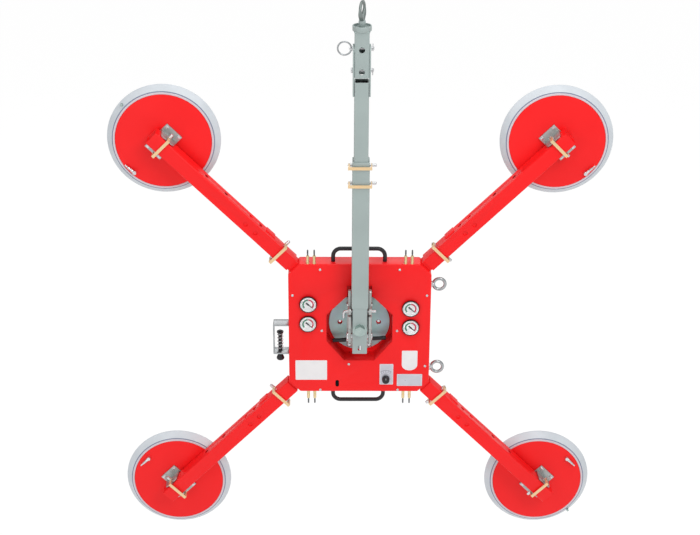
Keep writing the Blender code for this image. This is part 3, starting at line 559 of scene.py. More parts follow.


# All finishes: name, two colours, roughness and further settings
surface("red_paint", (0.97, 0.014, 0.016), (0.92, 0.011, 0.013), 0.36, patch=5, bump=0.012, specular=0.24)
surface("grey_paint", (0.385, 0.455, 0.442), (0.35, 0.415, 0.404), 0.42, metallic=0.15, patch=7, bump=0.015)
surface("light_seal", (0.66, 0.7, 0.74), (0.58, 0.62, 0.66), 0.5, patch=14, grain=700, bump=0.03, sheen=0.1)
surface("seal_lip", (0.7, 0.62, 0.67), (0.62, 0.56, 0.61), 0.5, patch=14, grain=700,
    bump=0.03, sheen=0.1)
# Bluish dark colour at the foot of the seal groove: painted shade in the crease between lip and flank
surface("seal_groove", (0.25, 0.28, 0.38), (0.2, 0.24, 0.33), 0.6, patch=14, grain=700,
    bump=0.03)
# An edge colour lightens the convex edges of a finish: partly wear, partly a painted edge highlight
surface("galvanised", (0.46, 0.47, 0.46), (0.37, 0.385, 0.375), 0.42, metallic=0.75, patch=40, bump=0.05,
    cells=130, edge=(0.66, 0.67, 0.66))
surface("yellow_zinc", (0.9, 0.6, 0.33), (0.8, 0.62, 0.36), 0.38, metallic=0.5, patch=30, grain=800,
    bump=0.02)
surface("bright_steel", (0.7, 0.71, 0.72), (0.6, 0.61, 0.63), 0.26, metallic=0.9, patch=50, grain=1200,
    bump=0.03, edge=(0.85, 0.86, 0.87))
surface("disc_zinc", (0.42, 0.64, 0.6), (0.44, 0.6, 0.67), 0.45, metallic=0.35, patch=14,
    bump=0.02)
surface("ring_zinc", (0.46, 0.48, 0.49), (0.36, 0.38, 0.39), 0.26, metallic=0.9, patch=60,
    bump=0.02)
surface("bolt_zinc", (0.44, 0.53, 0.5), (0.36, 0.45, 0.43), 0.22, metallic=0.9, patch=40,
    bump=0.02)
surface("eye_steel", (0.25, 0.29, 0.28), (0.19, 0.22, 0.21), 0.4, metallic=0.6, patch=30,
    bump=0.01)
surface("dark_steel", (0.17, 0.18, 0.19), (0.11, 0.12, 0.125), 0.33, metallic=0.85, patch=30, grain=600,
    bump=0.07, edge=(0.42, 0.43, 0.44))
surface("black_plastic", (0.02, 0.018, 0.022), (0.014, 0.013, 0.016), 0.36, patch=20, bump=0.05,
    specular=0.4)
surface("brass", (0.8, 0.62, 0.33), (0.7, 0.56, 0.3), 0.3, metallic=0.85, patch=70,
    bump=0.03, edge=(0.95, 0.84, 0.6))
surface("dial_case", (0.03, 0.012, 0.014), (0.022, 0.01, 0.012), 0.35, patch=40, bump=0.03, specular=0.3)
surface("dial_white", (0.8, 0.79, 0.79), (0.74, 0.73, 0.74), 0.5, patch=60, bump=0.02)
surface("dial_green", (0.05, 0.24, 0.14), (0.04, 0.19, 0.12), 0.5, patch=90, bump=0.02)
surface("dial_red", (0.6, 0.05, 0.1), (0.52, 0.04, 0.08), 0.5, patch=90, bump=0.02)
surface("print_grey", (0.05, 0.05, 0.06), (0.035, 0.035, 0.045), 0.5, patch=90, bump=0.02)
surface("label_white", (0.86, 0.84, 0.84), (0.8, 0.78, 0.79), 0.38, patch=25, bump=0.02,
    coat=0.2)
surface("label_silver", (0.62, 0.62, 0.68), (0.54, 0.54, 0.6), 0.34, metallic=0.55,
    patch=30, grain=300, bump=0.03, brushed=(0.4, 6, 6))
surface("battery_case", (0.1, 0.11, 0.12), (0.08, 0.09, 0.1), 0.5, patch=40, grain=1200, bump=0.1)
surface("pump_metal", (0.46, 0.47, 0.48), (0.38, 0.39, 0.4), 0.45, metallic=0.7, patch=60, grain=500,
    bump=0.1)
surface("tank_paint", (0.12, 0.13, 0.14), (0.09, 0.1, 0.11), 0.4, patch=30, grain=1200, bump=0.05)
# Near-black finish that paints the shade inside openings and hollows
surface("painted_hole_shade", (0.01, 0.01, 0.011), (0.006, 0.006, 0.007), 0.8, patch=40, bump=0.03,
    specular=0.1)

# Clear cover glass of the gauges, with faint smears in its gloss
glass = surface("clear_glass", (0.97, 0.98, 0.98), (1, 1, 1), 0.05, bump=0.004)
feed(glass, glass.nodes["Principled BSDF"], {"Transmission Weight": 1, "IOR": 1.08})


def show(obj, name, paint, body, *nodes, frame=None):
    """Place a drawn piece in the finished frame, paint it and hang it on its body."""
    place = Matrix.Scale(MM, 4) @ Matrix.Translation(-ORIGIN)
    moved(obj, place @ (frame or Matrix.Identity(4)))
    obj.name = name
    obj.data.name = name
    obj.data.materials.clear()
    obj.data.materials.append(PAINTS[paint])
    obj.data.shade_smooth()
    obj.data.set_sharp_from_angle(angle=SHADE_ANGLE)
    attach(obj, body)
    if nodes:
        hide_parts(*nodes)
    return obj


def twin(obj):
    """A second piece with its own copy of a drawn mesh."""
    return enter(obj.name, obj.data.copy())


def gather(pieces, name):
    """Join drawn pieces into one; they are used up."""
    bm = bmesh.new()
    for piece in pieces:
        bm.from_mesh(piece.data)
        bpy.data.objects.remove(piece)
    return link(bm, name)


def hex_screw(flats, height, steps=24):
    """Hexagon screw head with a chamfered top on a round washer, standing along +Z."""
    washer = rod(flats * 0.72, -0.5, 1.4, steps, chamfer=0.3)
    head = hexagon(flats, 1, height)
    crown = revolve([(0, -1), (flats * 0.62, -1), (flats * 0.62, height - 1.6), (flats * 0.47, height),
        (0, height)], steps)
    combine(head, crown, "INTERSECT")
    return weld(washer, soften(head, 0.25))


def dome_screw(radius):
    """Dome-headed cover screw with a hexagon socket, standing along +Z."""
    rise = radius * 0.62
    angles = [math.radians(a) for a in range(12, 84, 12)]
    profile = [(0, -1), (radius, -1), (radius, 0.5)]
    profile += [(radius * math.cos(a), 0.5 + rise * math.sin(a)) for a in angles] + [(0, 0.5 + rise)]
    head = revolve(profile, 24)
    return cut(head, hexagon(radius * 0.72, rise * 0.35, rise + 3))


def facing(axis, place):
    """Matrix that turns a piece drawn along +Z to an axis and moves it to its place."""
    turn = Vector(axis).to_track_quat("Z", "Y").to_matrix().to_4x4()
    return Matrix.Translation(place) @ turn


def scatter(source, name, paint, body, axis, places, frame=None):
    """Put a copy of one drawn piece at each place, all as one shown piece."""
    obj = gather((moved(twin(source), facing(axis, place)) for place in places), name)
    bpy.data.objects.remove(source)
    return show(obj, name, paint, body, frame=frame)


def bead(points, radius, steps=8):
    """A rippled weld bead along straight or curved points."""
    path = [Vector(point) for point in points]
    fine = []
    for a, b in zip(path, path[1:]):
        count = max(2, int((b - a).length / 3))
        fine += [a.lerp(b, i / count) for i in range(count)]
    fine.append(path[-1])
    obj = sweep(fine, radius, steps)
    for index, vertex in enumerate(obj.data.vertices):
        ring = index // steps
        centre = fine[min(ring, len(fine) - 1)]
        vertex.co = centre + (vertex.co - centre) * (1 + 0.16 * math.sin(ring * 2.1))
    return obj


def strap_pin(steps=28):
    """A strap pin about the origin: flat tang, collar, shaft, neck and chamfered tip along Y."""
    shaft = revolve([(0, -37), (8.4, -37), (9, -36.4), (9, -33.6), (PIN_RADIUS, -33.6), (PIN_RADIUS, 33.6),
        (3.4, 33.9), (3.4, 38.1), (PIN_RADIUS, 38.4), (PIN_RADIUS, PIN_TIP - 2.2), (3.8, PIN_TIP),
        (0, PIN_TIP)], steps, "Y")
    tang = soften(block(-2.5, 2.5, -46, -36.5, -5, 5), 0.5)
    return weld(shaft, tang)


def strap_bail():
    """Folded strap with a forked tip leg and a two-pronged tang leg, edges rounded."""
    half = BAIL_WIDTH / 2
    reach = BAIL_REACH
    strap = block(-half, half, BAIL_AXIS_T - 4, reach, -37.5, -34.5)
    tip_leg = block(-half, half, reach - 3, reach, -35.5, 5.5)
    tip_leg = cut(tip_leg, block(-3.8, 3.8, reach - 4, reach + 1, -3.9, 7))
    head_leg = block(-half, half, BAIL_AXIS_T - 3, BAIL_AXIS_T + 3, -35.5, 3)
    head_leg = cut(head_leg, block(-2.8, 2.8, BAIL_AXIS_T - 4, BAIL_AXIS_T + 4, -12, 4))
    return soften(weld(strap, tip_leg, head_leg), 0.8, 2)


def bail_rivet():
    """Rivet of a strap bail along X, with two round heads."""
    half = BAIL_WIDTH / 2
    return revolve([(0, -half - 1), (1.6, -half - 1), (2, -half - 0.5), (2, half + 0.5), (1.6, half + 1),
        (0, half + 1)], 16, "X", (0, BAIL_AXIS_T, 0))


def dress_pins(patterns, label, holder, bail_body, frame):
    """Show one strap pin with its strap and rivet."""
    show(twin(patterns["pin"]), label + "_pin", "bright_steel", holder, frame=frame)
    show(twin(patterns["strap"]), label + "_strap", "yellow_zinc", bail_body, label, frame=frame)
    show(twin(patterns["rivet"]), label + "_rivet", "bright_steel", bail_body, frame=frame)


def dress_head():
    """Hook eye, swivel head, head pins with clips, pull ring."""
    centre_z = EYE_BEARING_Z + EYE_BAR - EYE_RADIUS
    low_radius = 7
    low_z = 1176
    spread = math.degrees(math.asin((EYE_RADIUS - low_radius) / (centre_z - low_z)))
    outline = arc((0, centre_z), EYE_RADIUS, -spread, 180 + spread, 48)
    outline += arc((0, low_z), low_radius, 180 + spread, 360 - spread, 14)
    turn = Matrix.Rotation(math.pi / 2 - EYE_YAW, 4, "Z")
    line = [(turn @ Vector((x, 0, z))) + Vector((0, MAST_Y, 0)) for x, z in outline]
    bow = sweep(line, EYE_BAR - 0.1, EYE_STEPS, closed=True)
    for index, vertex in enumerate(bow.data.vertices):
        point = line[index // EYE_STEPS]
        swell = max(0, min(1, (centre_z + 6 - point.z) / SWELL_LENGTH))
        vertex.co = point + (vertex.co - point) * (1 + SWELL_SHARE * swell * swell * (3 - 2 * swell))
    show(bow, "eye_bow", "eye_steel", "eye", "hook_eye")
    shank = revolve([(0, CAP_LOW - 16), (16, CAP_LOW - 16), (16, CAP_LOW - CLEAR),
        (JOURNAL_RADIUS, CAP_LOW - CLEAR), (JOURNAL_RADIUS, CAP_FLOOR + CLEAR),
        (SHANK_RADIUS - 1, CAP_FLOOR + 5), (SHANK_RADIUS, CAP_FLOOR + 6.5), (SHANK_RADIUS, 1162),
        (11.6, 1164.5), (10.4, 1168), (8.4, 1170.6), (6, 1172), (0, 1172.5)], 48, "Z", MAST_LINE)
    show(shank, "eye_shank", "grey_paint", "eye")
    half = UPPER_SIZE / 2
    tube = fine_tube(half, half, UPPER_WALL, HEAD_TUBE_LOW, CAP_LOW + 2)
    for height in HEAD_PIN_Z:
        cut(tube, rod(HEAD_PIN_RADIUS + CLEAR, -40, 40, 28, "X", (0, MAST_Y, height)))
        cut(tube, rod(10, MAST_Y - 40, MAST_Y, 36, "Y", (0, 0, height)))
    show(soften(tube, 0.4), "head_tube", "grey_paint", "head", "swivel_head")
    rim = CAP_RADIUS - 3.5
    cap = revolve([(JOURNAL_RADIUS + CLEAR, CAP_LOW), (CAP_RADIUS - 3, CAP_LOW),
        (CAP_RADIUS - 1, CAP_LOW + 0.8), (CAP_RADIUS, CAP_LOW + 2.6), (CAP_RADIUS, CAP_HIGH - 1.2),
        (CAP_RADIUS - 1, CAP_HIGH), (rim + 0.8, CAP_HIGH), (rim, CAP_HIGH - 0.8), (rim, CAP_FLOOR + 1.5),
        (rim - 1.5, CAP_FLOOR), (JOURNAL_RADIUS + CLEAR, CAP_FLOOR)], 64, "Z", MAST_LINE)
    show(cap, "head_cap", "grey_paint", "head")
    ring = square_ring(half + 0.4, CAP_LOW - 0.4, 1.6)
    show(ring, "head_weld", "grey_paint", "head")
    dress_head_pins()


def fine_tube(half_a, half_b, wall, low, high, place=TO_MAST):
    """A square tube with smoothly rounded outer corners, moved to its place."""
    outer = prism(rounded_outline(half_a, half_b, wall * 0.95, 6), low, high, "Z")
    inner = prism(rounded_outline(half_a - wall, half_b - wall, 1, 2), low - 5, high + 5, "Z")
    return moved(cut(outer, inner), place)


def square_ring(half, height, radius):
    """Weld bead round a square mast section."""
    points = [(x, y, height) for x, y in rounded_outline(half, half, 3, 4, (0, MAST_Y))]
    return bead(points + points[:1], radius)


def dress_head_pins():
    """The two head pins, the lug with its pull ring and the two spring clips."""
    high, low = HEAD_PIN_Z
    pin = revolve([(0, -32.4), (8.2, -32.4), (8.5, -32), (8.5, -30.7), (HEAD_PIN_RADIUS, -30.7),
        (HEAD_PIN_RADIUS, 39), (HEAD_PIN_RADIUS - 1.5, 41), (0, 41)], 36, "X", (0, MAST_Y, high))
    lug = soften(block(-43.5, -31.5, MAST_Y - 8, MAST_Y + 8, high - 3, high + 3), 0.8, 2)
    hole = rod(3.2, high - 8, high + 8, 28, "Z", (RING_HINGE_X - 0.3, MAST_Y, 0))
    show(cut(weld(pin, lug), hole), "pin_upper", "bright_steel", "head", "head_pin_upper")
    pin = revolve([(0, -37), (8.6, -37), (9.5, -36), (9.5, -31.2), (9, -30.7), (HEAD_PIN_RADIUS, -30.7),
        (HEAD_PIN_RADIUS, 39), (HEAD_PIN_RADIUS - 1.5, 41), (0, 41)], 36, "X", (0, MAST_Y, low))
    show(pin, "pin_lower", "bright_steel", "head", "head_pin_lower")
    outline = arc((RING_HINGE_X - RING_RADIUS, high), RING_RADIUS, 0, 355, 71)
    ring = sweep([(x, MAST_Y, z) for x, z in outline], RING_BAR + 0.6, 16, closed=True)
    show(ring, "pull_ring", "ring_zinc", "pull_ring", "head_pull_ring")
    for label, height, side in (("upper", high, 1), ("lower", low, -1)):
        loop = arc((0, 0), HEAD_PIN_RADIUS + 1.1, -60, 240, 30)
        clip = sweep([(37, MAST_Y + y, height + side * z) for y, z in loop], 1.5, 10)
        at = facing((0, 0, side), (37, MAST_Y, height + side * (HEAD_PIN_RADIUS + 0.6)))
        weld(clip, moved(rod(1.5, -1, 9.5, 12, chamfer=0.4), at))
        show(clip, "clip_" + label, "bright_steel", "head")


def dress_mast():
    """Upper and lower mast tubes, head plates, weld seams, dark lines of painted shade at the plate joints,
    a block of painted shade in the top end, and foot.
    """
    half = UPPER_SIZE / 2
    inner = half - UPPER_WALL
    tube = fine_tube(half, half, UPPER_WALL, UPPER_LOW, UPPER_HIGH)
    low = MAST_PIN_Z[1] - MAST_TRAVEL - PIN_RADIUS - 1.5
    high = MAST_PIN_Z[0] + PIN_RADIUS + 1.5
    cut(tube, block(-half - 5, half + 5, MAST_Y - 6.8, MAST_Y + 6.8, low, high))
    show(soften(tube, 0.4), "mast_inner_tube", "grey_paint", "head", "mast_upper_tube")
    shoulder = 1066
    for label, side in (("left", -1), ("right", 1)):
        outline = [(MAST_Y - half, PLATE_LOW), (MAST_Y + half, PLATE_LOW), (MAST_Y + half, shoulder)]
        outline += arc((MAST_Y, shoulder - 5.2), half, 20, 160, 24) + [(MAST_Y - half, shoulder)]
        near, far = sorted((side * (half + CLEAR), side * (half + CLEAR + PLATE_THICK)))
        plate = prism(outline, near, far, "X")
        for height in HEAD_PIN_Z:
            cut(plate, rod(HEAD_PIN_RADIUS + CLEAR, -40, 40, 28, "X", (0, MAST_Y, height)))
        show(soften(plate, 0.7, 2), "head_plate_" + label, "grey_paint", "head")
        # Dark bead along the front of each plate joint: painted shade of the gap between plate and tube
        shade_line = bead([(side * (half + 0.2), MAST_Y - half + 0.8, PLATE_LOW + 2),
            (side * (half + 0.2), MAST_Y - half + 0.8, UPPER_HIGH - 3)], 1.3)
        show(shade_line, "head_plate_shade_line_" + label, "dark_steel", "head")
    # Near-black block a little inside the open top of the upper tube: painted shade of the tube's hollow
    # inside
    shade_block = soften(block(-inner + 0.3, inner - 0.3, MAST_Y - inner + 0.3, MAST_Y + inner - 0.3,
        UPPER_HIGH - 32, UPPER_HIGH - 5), 1.5, 3)
    show(shade_block, "mast_top_shade_block", "painted_hole_shade", "head")
    half = LOWER_SIZE / 2
    tube = fine_tube(half, half, LOWER_WALL, FOOT_TOP, LOWER_HIGH)
    for height in MAST_PIN_Z:
        cut(tube, rod(PIN_RADIUS + 0.4, -40, 40, 24, "X", (0, MAST_Y, height)))
    show(soften(tube, 0.5), "mast_outer_tube", "grey_paint", "mast", "mast_lower_tube")
    foot = fine_tube(FOOT_HALF_X, FOOT_HALF_Y, LOWER_WALL, LOWER_LOW, FOOT_TOP + 3)
    cut(foot, rod(LOCK_PIN_RADIUS + 0.5, -40, 40, 24, "X", (0, MAST_Y, LOCK_PIN_Z)))
    cut(foot, rod(PIVOT_RADIUS + 0.4, -40, 40, 32, "X", MAST_LINE))
    cut(foot, rod(STOP_BOLT_RADIUS + CLEAR, MAST_Y - 40, MAST_Y + 40, 32, "Y", (0, 0, STOP_BOLT_Z)))
    cut(foot, prism(slot_outline(0, FOOT_SLOT_Z, 4, 7, 16), MAST_Y - 40, MAST_Y - 20, "Y"))
    show(soften(foot, 0.5), "mast_foot", "grey_paint", "mast")
    key = soften(block(-1, 6.2, MAST_Y - FOOT_HALF_Y + 1, MAST_Y - FOOT_HALF_Y + 6, -46.4, -25.6), 1.2, 3)
    show(key, "mast_foot_key", "bright_steel", "mast")
    show(square_ring(FOOT_HALF_X + 1.2, FOOT_TOP - 1, 1.9), "mast_foot_weld", "grey_paint", "mast")
    show(square_ring(FOOT_HALF_X + 0.1, LOCK_PIN_Z + 4, 0.7), "mast_foot_seam", "grey_paint", "mast")


def dress_foot():
    """Stop bolt, tilt pivot and lock pin."""
    front = MAST_Y - FOOT_HALF_Y
    at = facing((0, -1, 0), (0, front - CLEAR, STOP_BOLT_Z))
    bolt = hex_screw(STOP_BOLT_FLATS - 1, 14.6, 40)
    show(moved(bolt, at), "stop_bolt_head", "bolt_zinc", "mast", "stop_bolt")
    shank = rod(STOP_BOLT_RADIUS, front - 2, YOKE_PLATE[2] - CLEAR, 40, "Y", (0, 0, STOP_BOLT_Z), 1.5)
    show(shank, "stop_bolt_shank", "bright_steel", "mast")
    pivot = revolve([(0, -46.5), (13, -46.5), (14, -45.5), (14, -CHEEK_OUTER - CLEAR),
        (PIVOT_RADIUS, -CHEEK_OUTER - CLEAR), (PIVOT_RADIUS, 45), (PIVOT_RADIUS - 1, 46), (0, 46)], 48, "X",
        MAST_LINE)
    show(pivot, "tilt_pivot", "bright_steel", "mast", "tilt_pivot_pin")
    bend = [(x, MAST_Y, z) for x, z in arc((-49, LOCK_PIN_Z - 8), 8, 90, 180, 14)]
    path = [(57.8, MAST_Y, LOCK_PIN_Z)] + bend + [(-57, MAST_Y, 72.2)]
    show(sweep(path, LOCK_PIN_RADIUS, 24), "lock_pin", "bright_steel", "lock_pin", "mast_lock_pin")


def dress_yoke():
    """Yoke with cheeks, turning shaft and screws."""
    yoke = block(*YOKE_PLATE)
    for side in (-1, 1):
        low, high = sorted((side * CHEEK_INNER, side * CHEEK_OUTER))
        weld(yoke, prism(cheek_outline(), low, high, "X"))
    cut(yoke, rod(PIVOT_RADIUS + 0.4, -60, 60, 32, "X", MAST_LINE))
    cut(yoke, rod(INDEX_PIN_RADIUS + CLEAR, -60, -20, 36, "Y", (0, 0, -INDEX_CIRCLE)))
    gap = LOCK_PIN_RADIUS + 0.5
    track = band((MAST_Y, 0), LOCK_PIN_Z + gap, LOCK_PIN_Z - gap, 90, 114, 12)
    track += arc((MAST_Y, LOCK_PIN_Z), gap, -60, 60, 10)
    cut(yoke, prism(track, -60, 60, "X"))
    show(soften(yoke, 1.1, 2), "yoke_body", "galvanised", "yoke", "yoke")
    shaft = revolve([(0, -30), (SHAFT_RADIUS, -30), (SHAFT_RADIUS, BACK_PLATE_BACK + CLEAR),
        (24, BACK_PLATE_BACK + CLEAR), (24, -3), (22, -2), (0, -2)], 48, "Y")
    show(shaft, "yoke_shaft", "bright_steel", "yoke")
    front = YOKE_PLATE[2]
    places = [(side * 36, front, z) for side in (-1, 1) for z in (-69, -85)]
    scatter(hex_screw(9, 7.5), "yoke_plate_screws", "bright_steel", "yoke", (0, -1, 0), places)
    for label, side in (("left", -1), ("right", 1)):
        face = side * CHEEK_OUTER
        places = [(face, -60, z) for z in (88, -38)]
        scatter(hex_screw(13, 5.5), "yoke_cheek_screws_" + label, "bright_steel", "yoke", (side, 0, 0),
            places)


def dress_disc():
    """Index disc, the studs behind two of its holes, and the parked plunger."""
    disc = revolve([(SHAFT_RADIUS + 0.6, DISC_BACK), (DISC_RADIUS - 0.8, DISC_BACK),
        (DISC_RADIUS, DISC_BACK - 0.8), (DISC_RADIUS, DISC_FRONT + 0.8), (DISC_RADIUS - 0.8, DISC_FRONT),
        (SHAFT_RADIUS + 0.6, DISC_FRONT)], 96, "Y")
    for x, z in ((0, -1), (1, 0), (0, 1), (-1, 0)):
        cut(disc, rod(9.5, -40, 0, 36, "Y", (x * INDEX_CIRCLE, 0, z * INDEX_CIRCLE)))
    show(disc, "index_disc_face", "disc_zinc", "chassis", "index_disc")
    places = [(side * INDEX_CIRCLE, BACK_PLATE_FRONT, 0.5) for side in (-1, 1)]
    scatter(rod(5, -1, 1.2, 24, chamfer=0.4), "frame_studs", "bright_steel", "chassis", (0, -1, 0), places)
    pin = rod(INDEX_PIN_RADIUS - 0.2, CROSS_ROD_Y, DISC_FRONT - 1, 36, "Y", (0, 0, -INDEX_CIRCLE), 1)
    hub = soften(block(-9.5, 9.5, CROSS_ROD_Y - 6, CROSS_ROD_Y + 6, -81, -49.5), 1.4, 3)
    show(weld(hub, pin), "plunger_hub", "bright_steel", "index_plunger", "index_plunger")
    turn = Matrix.Translation((0, CROSS_ROD_Y, CROSS_ROD_Z)) @ Matrix.Rotation(-CROSS_ROD_TILT, 4, "Y")
    rod_piece = revolve([(0, -90), (4, -90), (4, -46), (6, -46), (6, -41), (4, -41), (4, 41), (6, 41),
        (6, 46), (4, 46), (4, 90), (0, 90)], 28, "X")
    show(moved(rod_piece, turn), "plunger_rod", "bright_steel", "index_plunger")
    for label, side in (("left", -1), ("right", 1)):
        profile = [(0, 47), (6.4, 47), (7.2, 47.8)]
        for index in range(GRIP_GROOVES):
            start = 50 + index * GRIP_PITCH
            swell = 7.5 + 0.4 * math.sin(index / (GRIP_GROOVES - 1) * math.pi * 1.5 + 2.2)
            profile += [(swell - 0.35, start), (swell, start + 0.7), (swell, start + 2.6),
                (swell - 0.35, start + 3.3)]
        profile += [(7.8, 95.5), (6.4, 98.4), (0, 98.6)]
        grip = revolve(profile, 32, "X")
        flip = Matrix.Rotation(0 if side > 0 else math.pi, 4, "Y")
        show(moved(grip, turn @ flip), "plunger_grip_" + label, "black_plastic", "index_plunger")


def dress_cover():
    """Sheet cover with the well and all its openings, a dark sheet of painted shade behind the battery
    slot, and the screws.
    """
    cover = prism(box_outline(), BOX_FRONT, BOX_BACK, "Y")
    bm = bmesh.new()
    bm.from_mesh(cover.data)
    rim = [edge for edge in bm.edges if all(abs(v.co.y - BOX_FRONT) < 0.01 for v in edge.verts)]
    corners = [edge for edge in bm.edges if abs(edge.verts[0].co.y - edge.verts[1].co.y) > 1]
    bmesh.ops.bevel(bm, geom=rim + corners, offset=4, segments=5, profile=0.5, affect="EDGES")
    bm.to_mesh(cover.data)
    bm.free()
    cavity = prism(box_outline(SHEET), BOX_FRONT + SHEET, BOX_BACK + 5, "Y")
    cut(cavity, prism(well_outline(SHEET), BOX_FRONT - 5, BOX_BACK + 8, "Y"))
    cut(cover, cavity, prism(well_outline(), BOX_FRONT - 5, BOX_BACK + 8, "Y"))
    for x, z in GAUGES.values():
        cut(cover, rod(26.6, -100, -80, 40, "Y", (x, 0, z)))
    cut(cover, rod(5, -100, -80, 24, "Y", (KNOB_AT[0], 0, KNOB_AT[1])))
    slot = slot_outline(*BATTERY_SLOT_AT, 7.5, 6.5, 14)
    cut(cover, prism(slot, -100, -80, "Y"))
    for corner in CORNERS:
        passage = block(300, 400, -BEAM_HALF_T - 1.5, BEAM_HALF_T + 1.5, ARM_Y - BEAM_HALF_Y - 1.5,
            ARM_Y + BEAM_HALF_Y + 9)
        cut(cover, moved(passage, corner_frame(corner)))
    show(soften(cover, 0.6, 2), "cover_sheet", "red_paint", "chassis", "front_cover")
    # Near-black sheet just behind the battery slot: painted shade of the box's inside seen through the slot
    slot_shade = prism(slot, BOX_FRONT + 2.5, BOX_FRONT + 6, "Y")
    show(soften(slot_shade, 0.5), "battery_slot_shade", "painted_hole_shade", "chassis")
    places = [(x, BOX_FRONT, z) for x, z in COVER_SCREWS]
    scatter(dome_screw(5), "cover_screws", "bright_steel", "chassis", (0, -1, 0), places)


def dress_couplings():
    """Brass hose couplings with steel tips above and below the box."""
    for label, side in (("upper", 1), ("lower", -1)):
        for index, x in enumerate((-187, -163.5, 163.5, 187)):
            place = facing((0, 0, side), (x, -79, BOX_MID_Z + side * BOX_HALF))
            body = revolve([(0, -1), (6.6, -1), (6.6, 1.2), (5.6, 1.6), (5.6, 12), (4.9, 12.6), (4.9, 14.4),
                (5.6, 15), (5.6, 29), (4.8, 31), (0, 31)], 32)
            flats = soften(hexagon(10.6, 3, 11), 0.4)
            weld(body, flats)
            name = "coupling_%s_%d" % (label, index + 1)
            show(moved(body, place), name, "brass", "chassis")
            tip = revolve([(0, 30), (2.7, 30), (2.7, 38), (3.2, 39), (2.5, 43.5), (3.2, 44.2), (2.5, 48.5),
                (3.1, 49.2), (2.1, 53), (0, 53)], 24)
            show(moved(tip, place), name + "_tip", "dark_steel", "chassis")


def dress_handles():
    """Black carrying handles, bent round at both ends."""
    for label, side in (("lower", -1), ("upper", 1)):
        foot = BOX_HALF + CLEAR
        bend = HANDLE_TOP - HANDLE_BEND
        outline = [(-96, foot)] + arc((-68, bend), HANDLE_BEND, 180, 90, 16)
        outline += arc((62, bend), HANDLE_BEND, 90, 0, 16) + [(90, foot)]
        path = [(x, -58, BOX_MID_Z + side * z) for x, z in outline]
        bar = sweep(path, 7.4, 24)
        show(bar, "handle_bar_" + label, "black_plastic", "chassis", "carry_handle_" + label)


def dress_gauges():
    """Vacuum gauges with dial, arcs, ticks, needle and glass."""
    for label, (x, z) in GAUGES.items():
        at = Matrix.Translation((x, 0, z))
        case = revolve([(0, -62), (26, -62), (26, -88.3), (30.8, -88.3), (31.5, -89), (31.5, -94.6),
            (31, -96.4), (30.2, -97), (29.2, -96.6), (28.8, -95.6), (28.6, -93), (0, -93)], 64, "Y")
        show(moved(case, at), "gauge_ring_" + label, "dial_case", "chassis", "gauge_case_" + label)
        dial = revolve([(0, -93.4), (26.6, -93.4), (28.5, -95), (28.5, -93), (0, -93)], 64, "Y")
        show(moved(dial, at), "gauge_dial_" + label, "dial_white", "chassis")
        for colour, start, end in (("dial_green", 92, 222), ("dial_red", -42, 88)):
            sector = prism(band((0, 0), 20.8, 15.6, start, end, 30), -93.65, -93.3, "Y")
            show(moved(sector, at), "gauge_%s_%s" % (colour, label), colour, "chassis")
        marks = [(DIAL_START + DIAL_SPAN * index / DIAL_TICKS, TICK_END - (1.4 if index % 5 else 2.6)) for
            index in range(DIAL_TICKS + 1)]
        radial_marks("gauge_ticks_" + label, marks, TICK_END, 0.28, 0.3, (x, z), -93.35)
        blade = prism(((-2.6, -10.5), (2.6, -10.5), (3.2, -7.5), (2.2, -1), (0.9, 20), (-0.9, 20),
            (-2.2, -1), (-3.2, -7.5)), -94.6, -94, "Y")
        hub = rod(3.4, -95.2, -93.6, 24, "Y", chamfer=0.4)
        needle = moved(weld(blade, hub), at @ Matrix.Rotation(NEEDLE_ZERO, 4, "Y"))
        show(needle, "needle_" + label, "print_grey", "needle_" + label, "gauge_needle_" + label)
        glass = revolve([(0, -96.3), (28.4, -95.8), (28.4, -95.4), (0, -95.9)], 48, "Y")
        show(moved(glass, at), "gauge_glass_" + label, "clear_glass", "chassis")


def dress_knob():
    """Selector knob with its pointer line."""
    knob = revolve([(0, -105), (11, -105), (12.4, -104.4), (13.2, -103), (14.3, -91), (14.5, -88.6),
        (4.2, -88.5), (4.2, -76), (0, -76)], 64, "Y")
    for index in range(12):
        angle = math.tau * index / 12
        centre = (15.2 * math.cos(angle), 0, 15.2 * math.sin(angle))
        cut(knob, rod(1.5, -110, -92, 12, "Y", centre))
    grip = soften(block(-2.6, 2.6, -106, -100, -11, 11), 0.9, 2)
    at = Matrix.Translation((KNOB_AT[0], 0, KNOB_AT[1]))
    show(moved(weld(knob, grip), at), "knob_body", "black_plastic", "knob", "selector_knob")
    line = soften(block(-0.6, 0.6, -106.1, -105, 3, 10.6), 0.15)
    show(moved(line, at), "knob_pointer", "label_white", "knob")


def radial_marks(name, marks, outer, half_width, height, centre, depth):
    """Printed marks that point to a centre, each given by its angle in degrees and inner radius."""
    pieces = []
    for degrees, inner in marks:
        cosine = math.cos(math.radians(degrees))
        sine = math.sin(math.radians(degrees))
        turn = Matrix(((cosine, -sine, 0, centre[0]), (0, 0, -1, depth), (sine, cosine, 0, centre[1]),
            (0, 0, 0, 1)))
        pieces.append(moved(block(inner, outer, -half_width, half_width, 0, height), turn))
    show(gather(pieces, name), name, "print_grey", "chassis")


def front_plate(name, paint, outline, depth, bevel):
    """Show a thin plate that stands on the front of the box."""
    plate = prism(outline, BOX_FRONT - depth, BOX_FRONT + 0.5, "Y")
    show(soften(plate, bevel), name, paint, "chassis")


def corner_plate(x0, x1, z0, z1, radius):
    """Outline of a plate with rounded corners, given by its limits."""
    return rounded_outline((x1 - x0) / 2, (z1 - z0) / 2, radius, 6, ((x0 + x1) / 2, (z0 + z1) / 2))


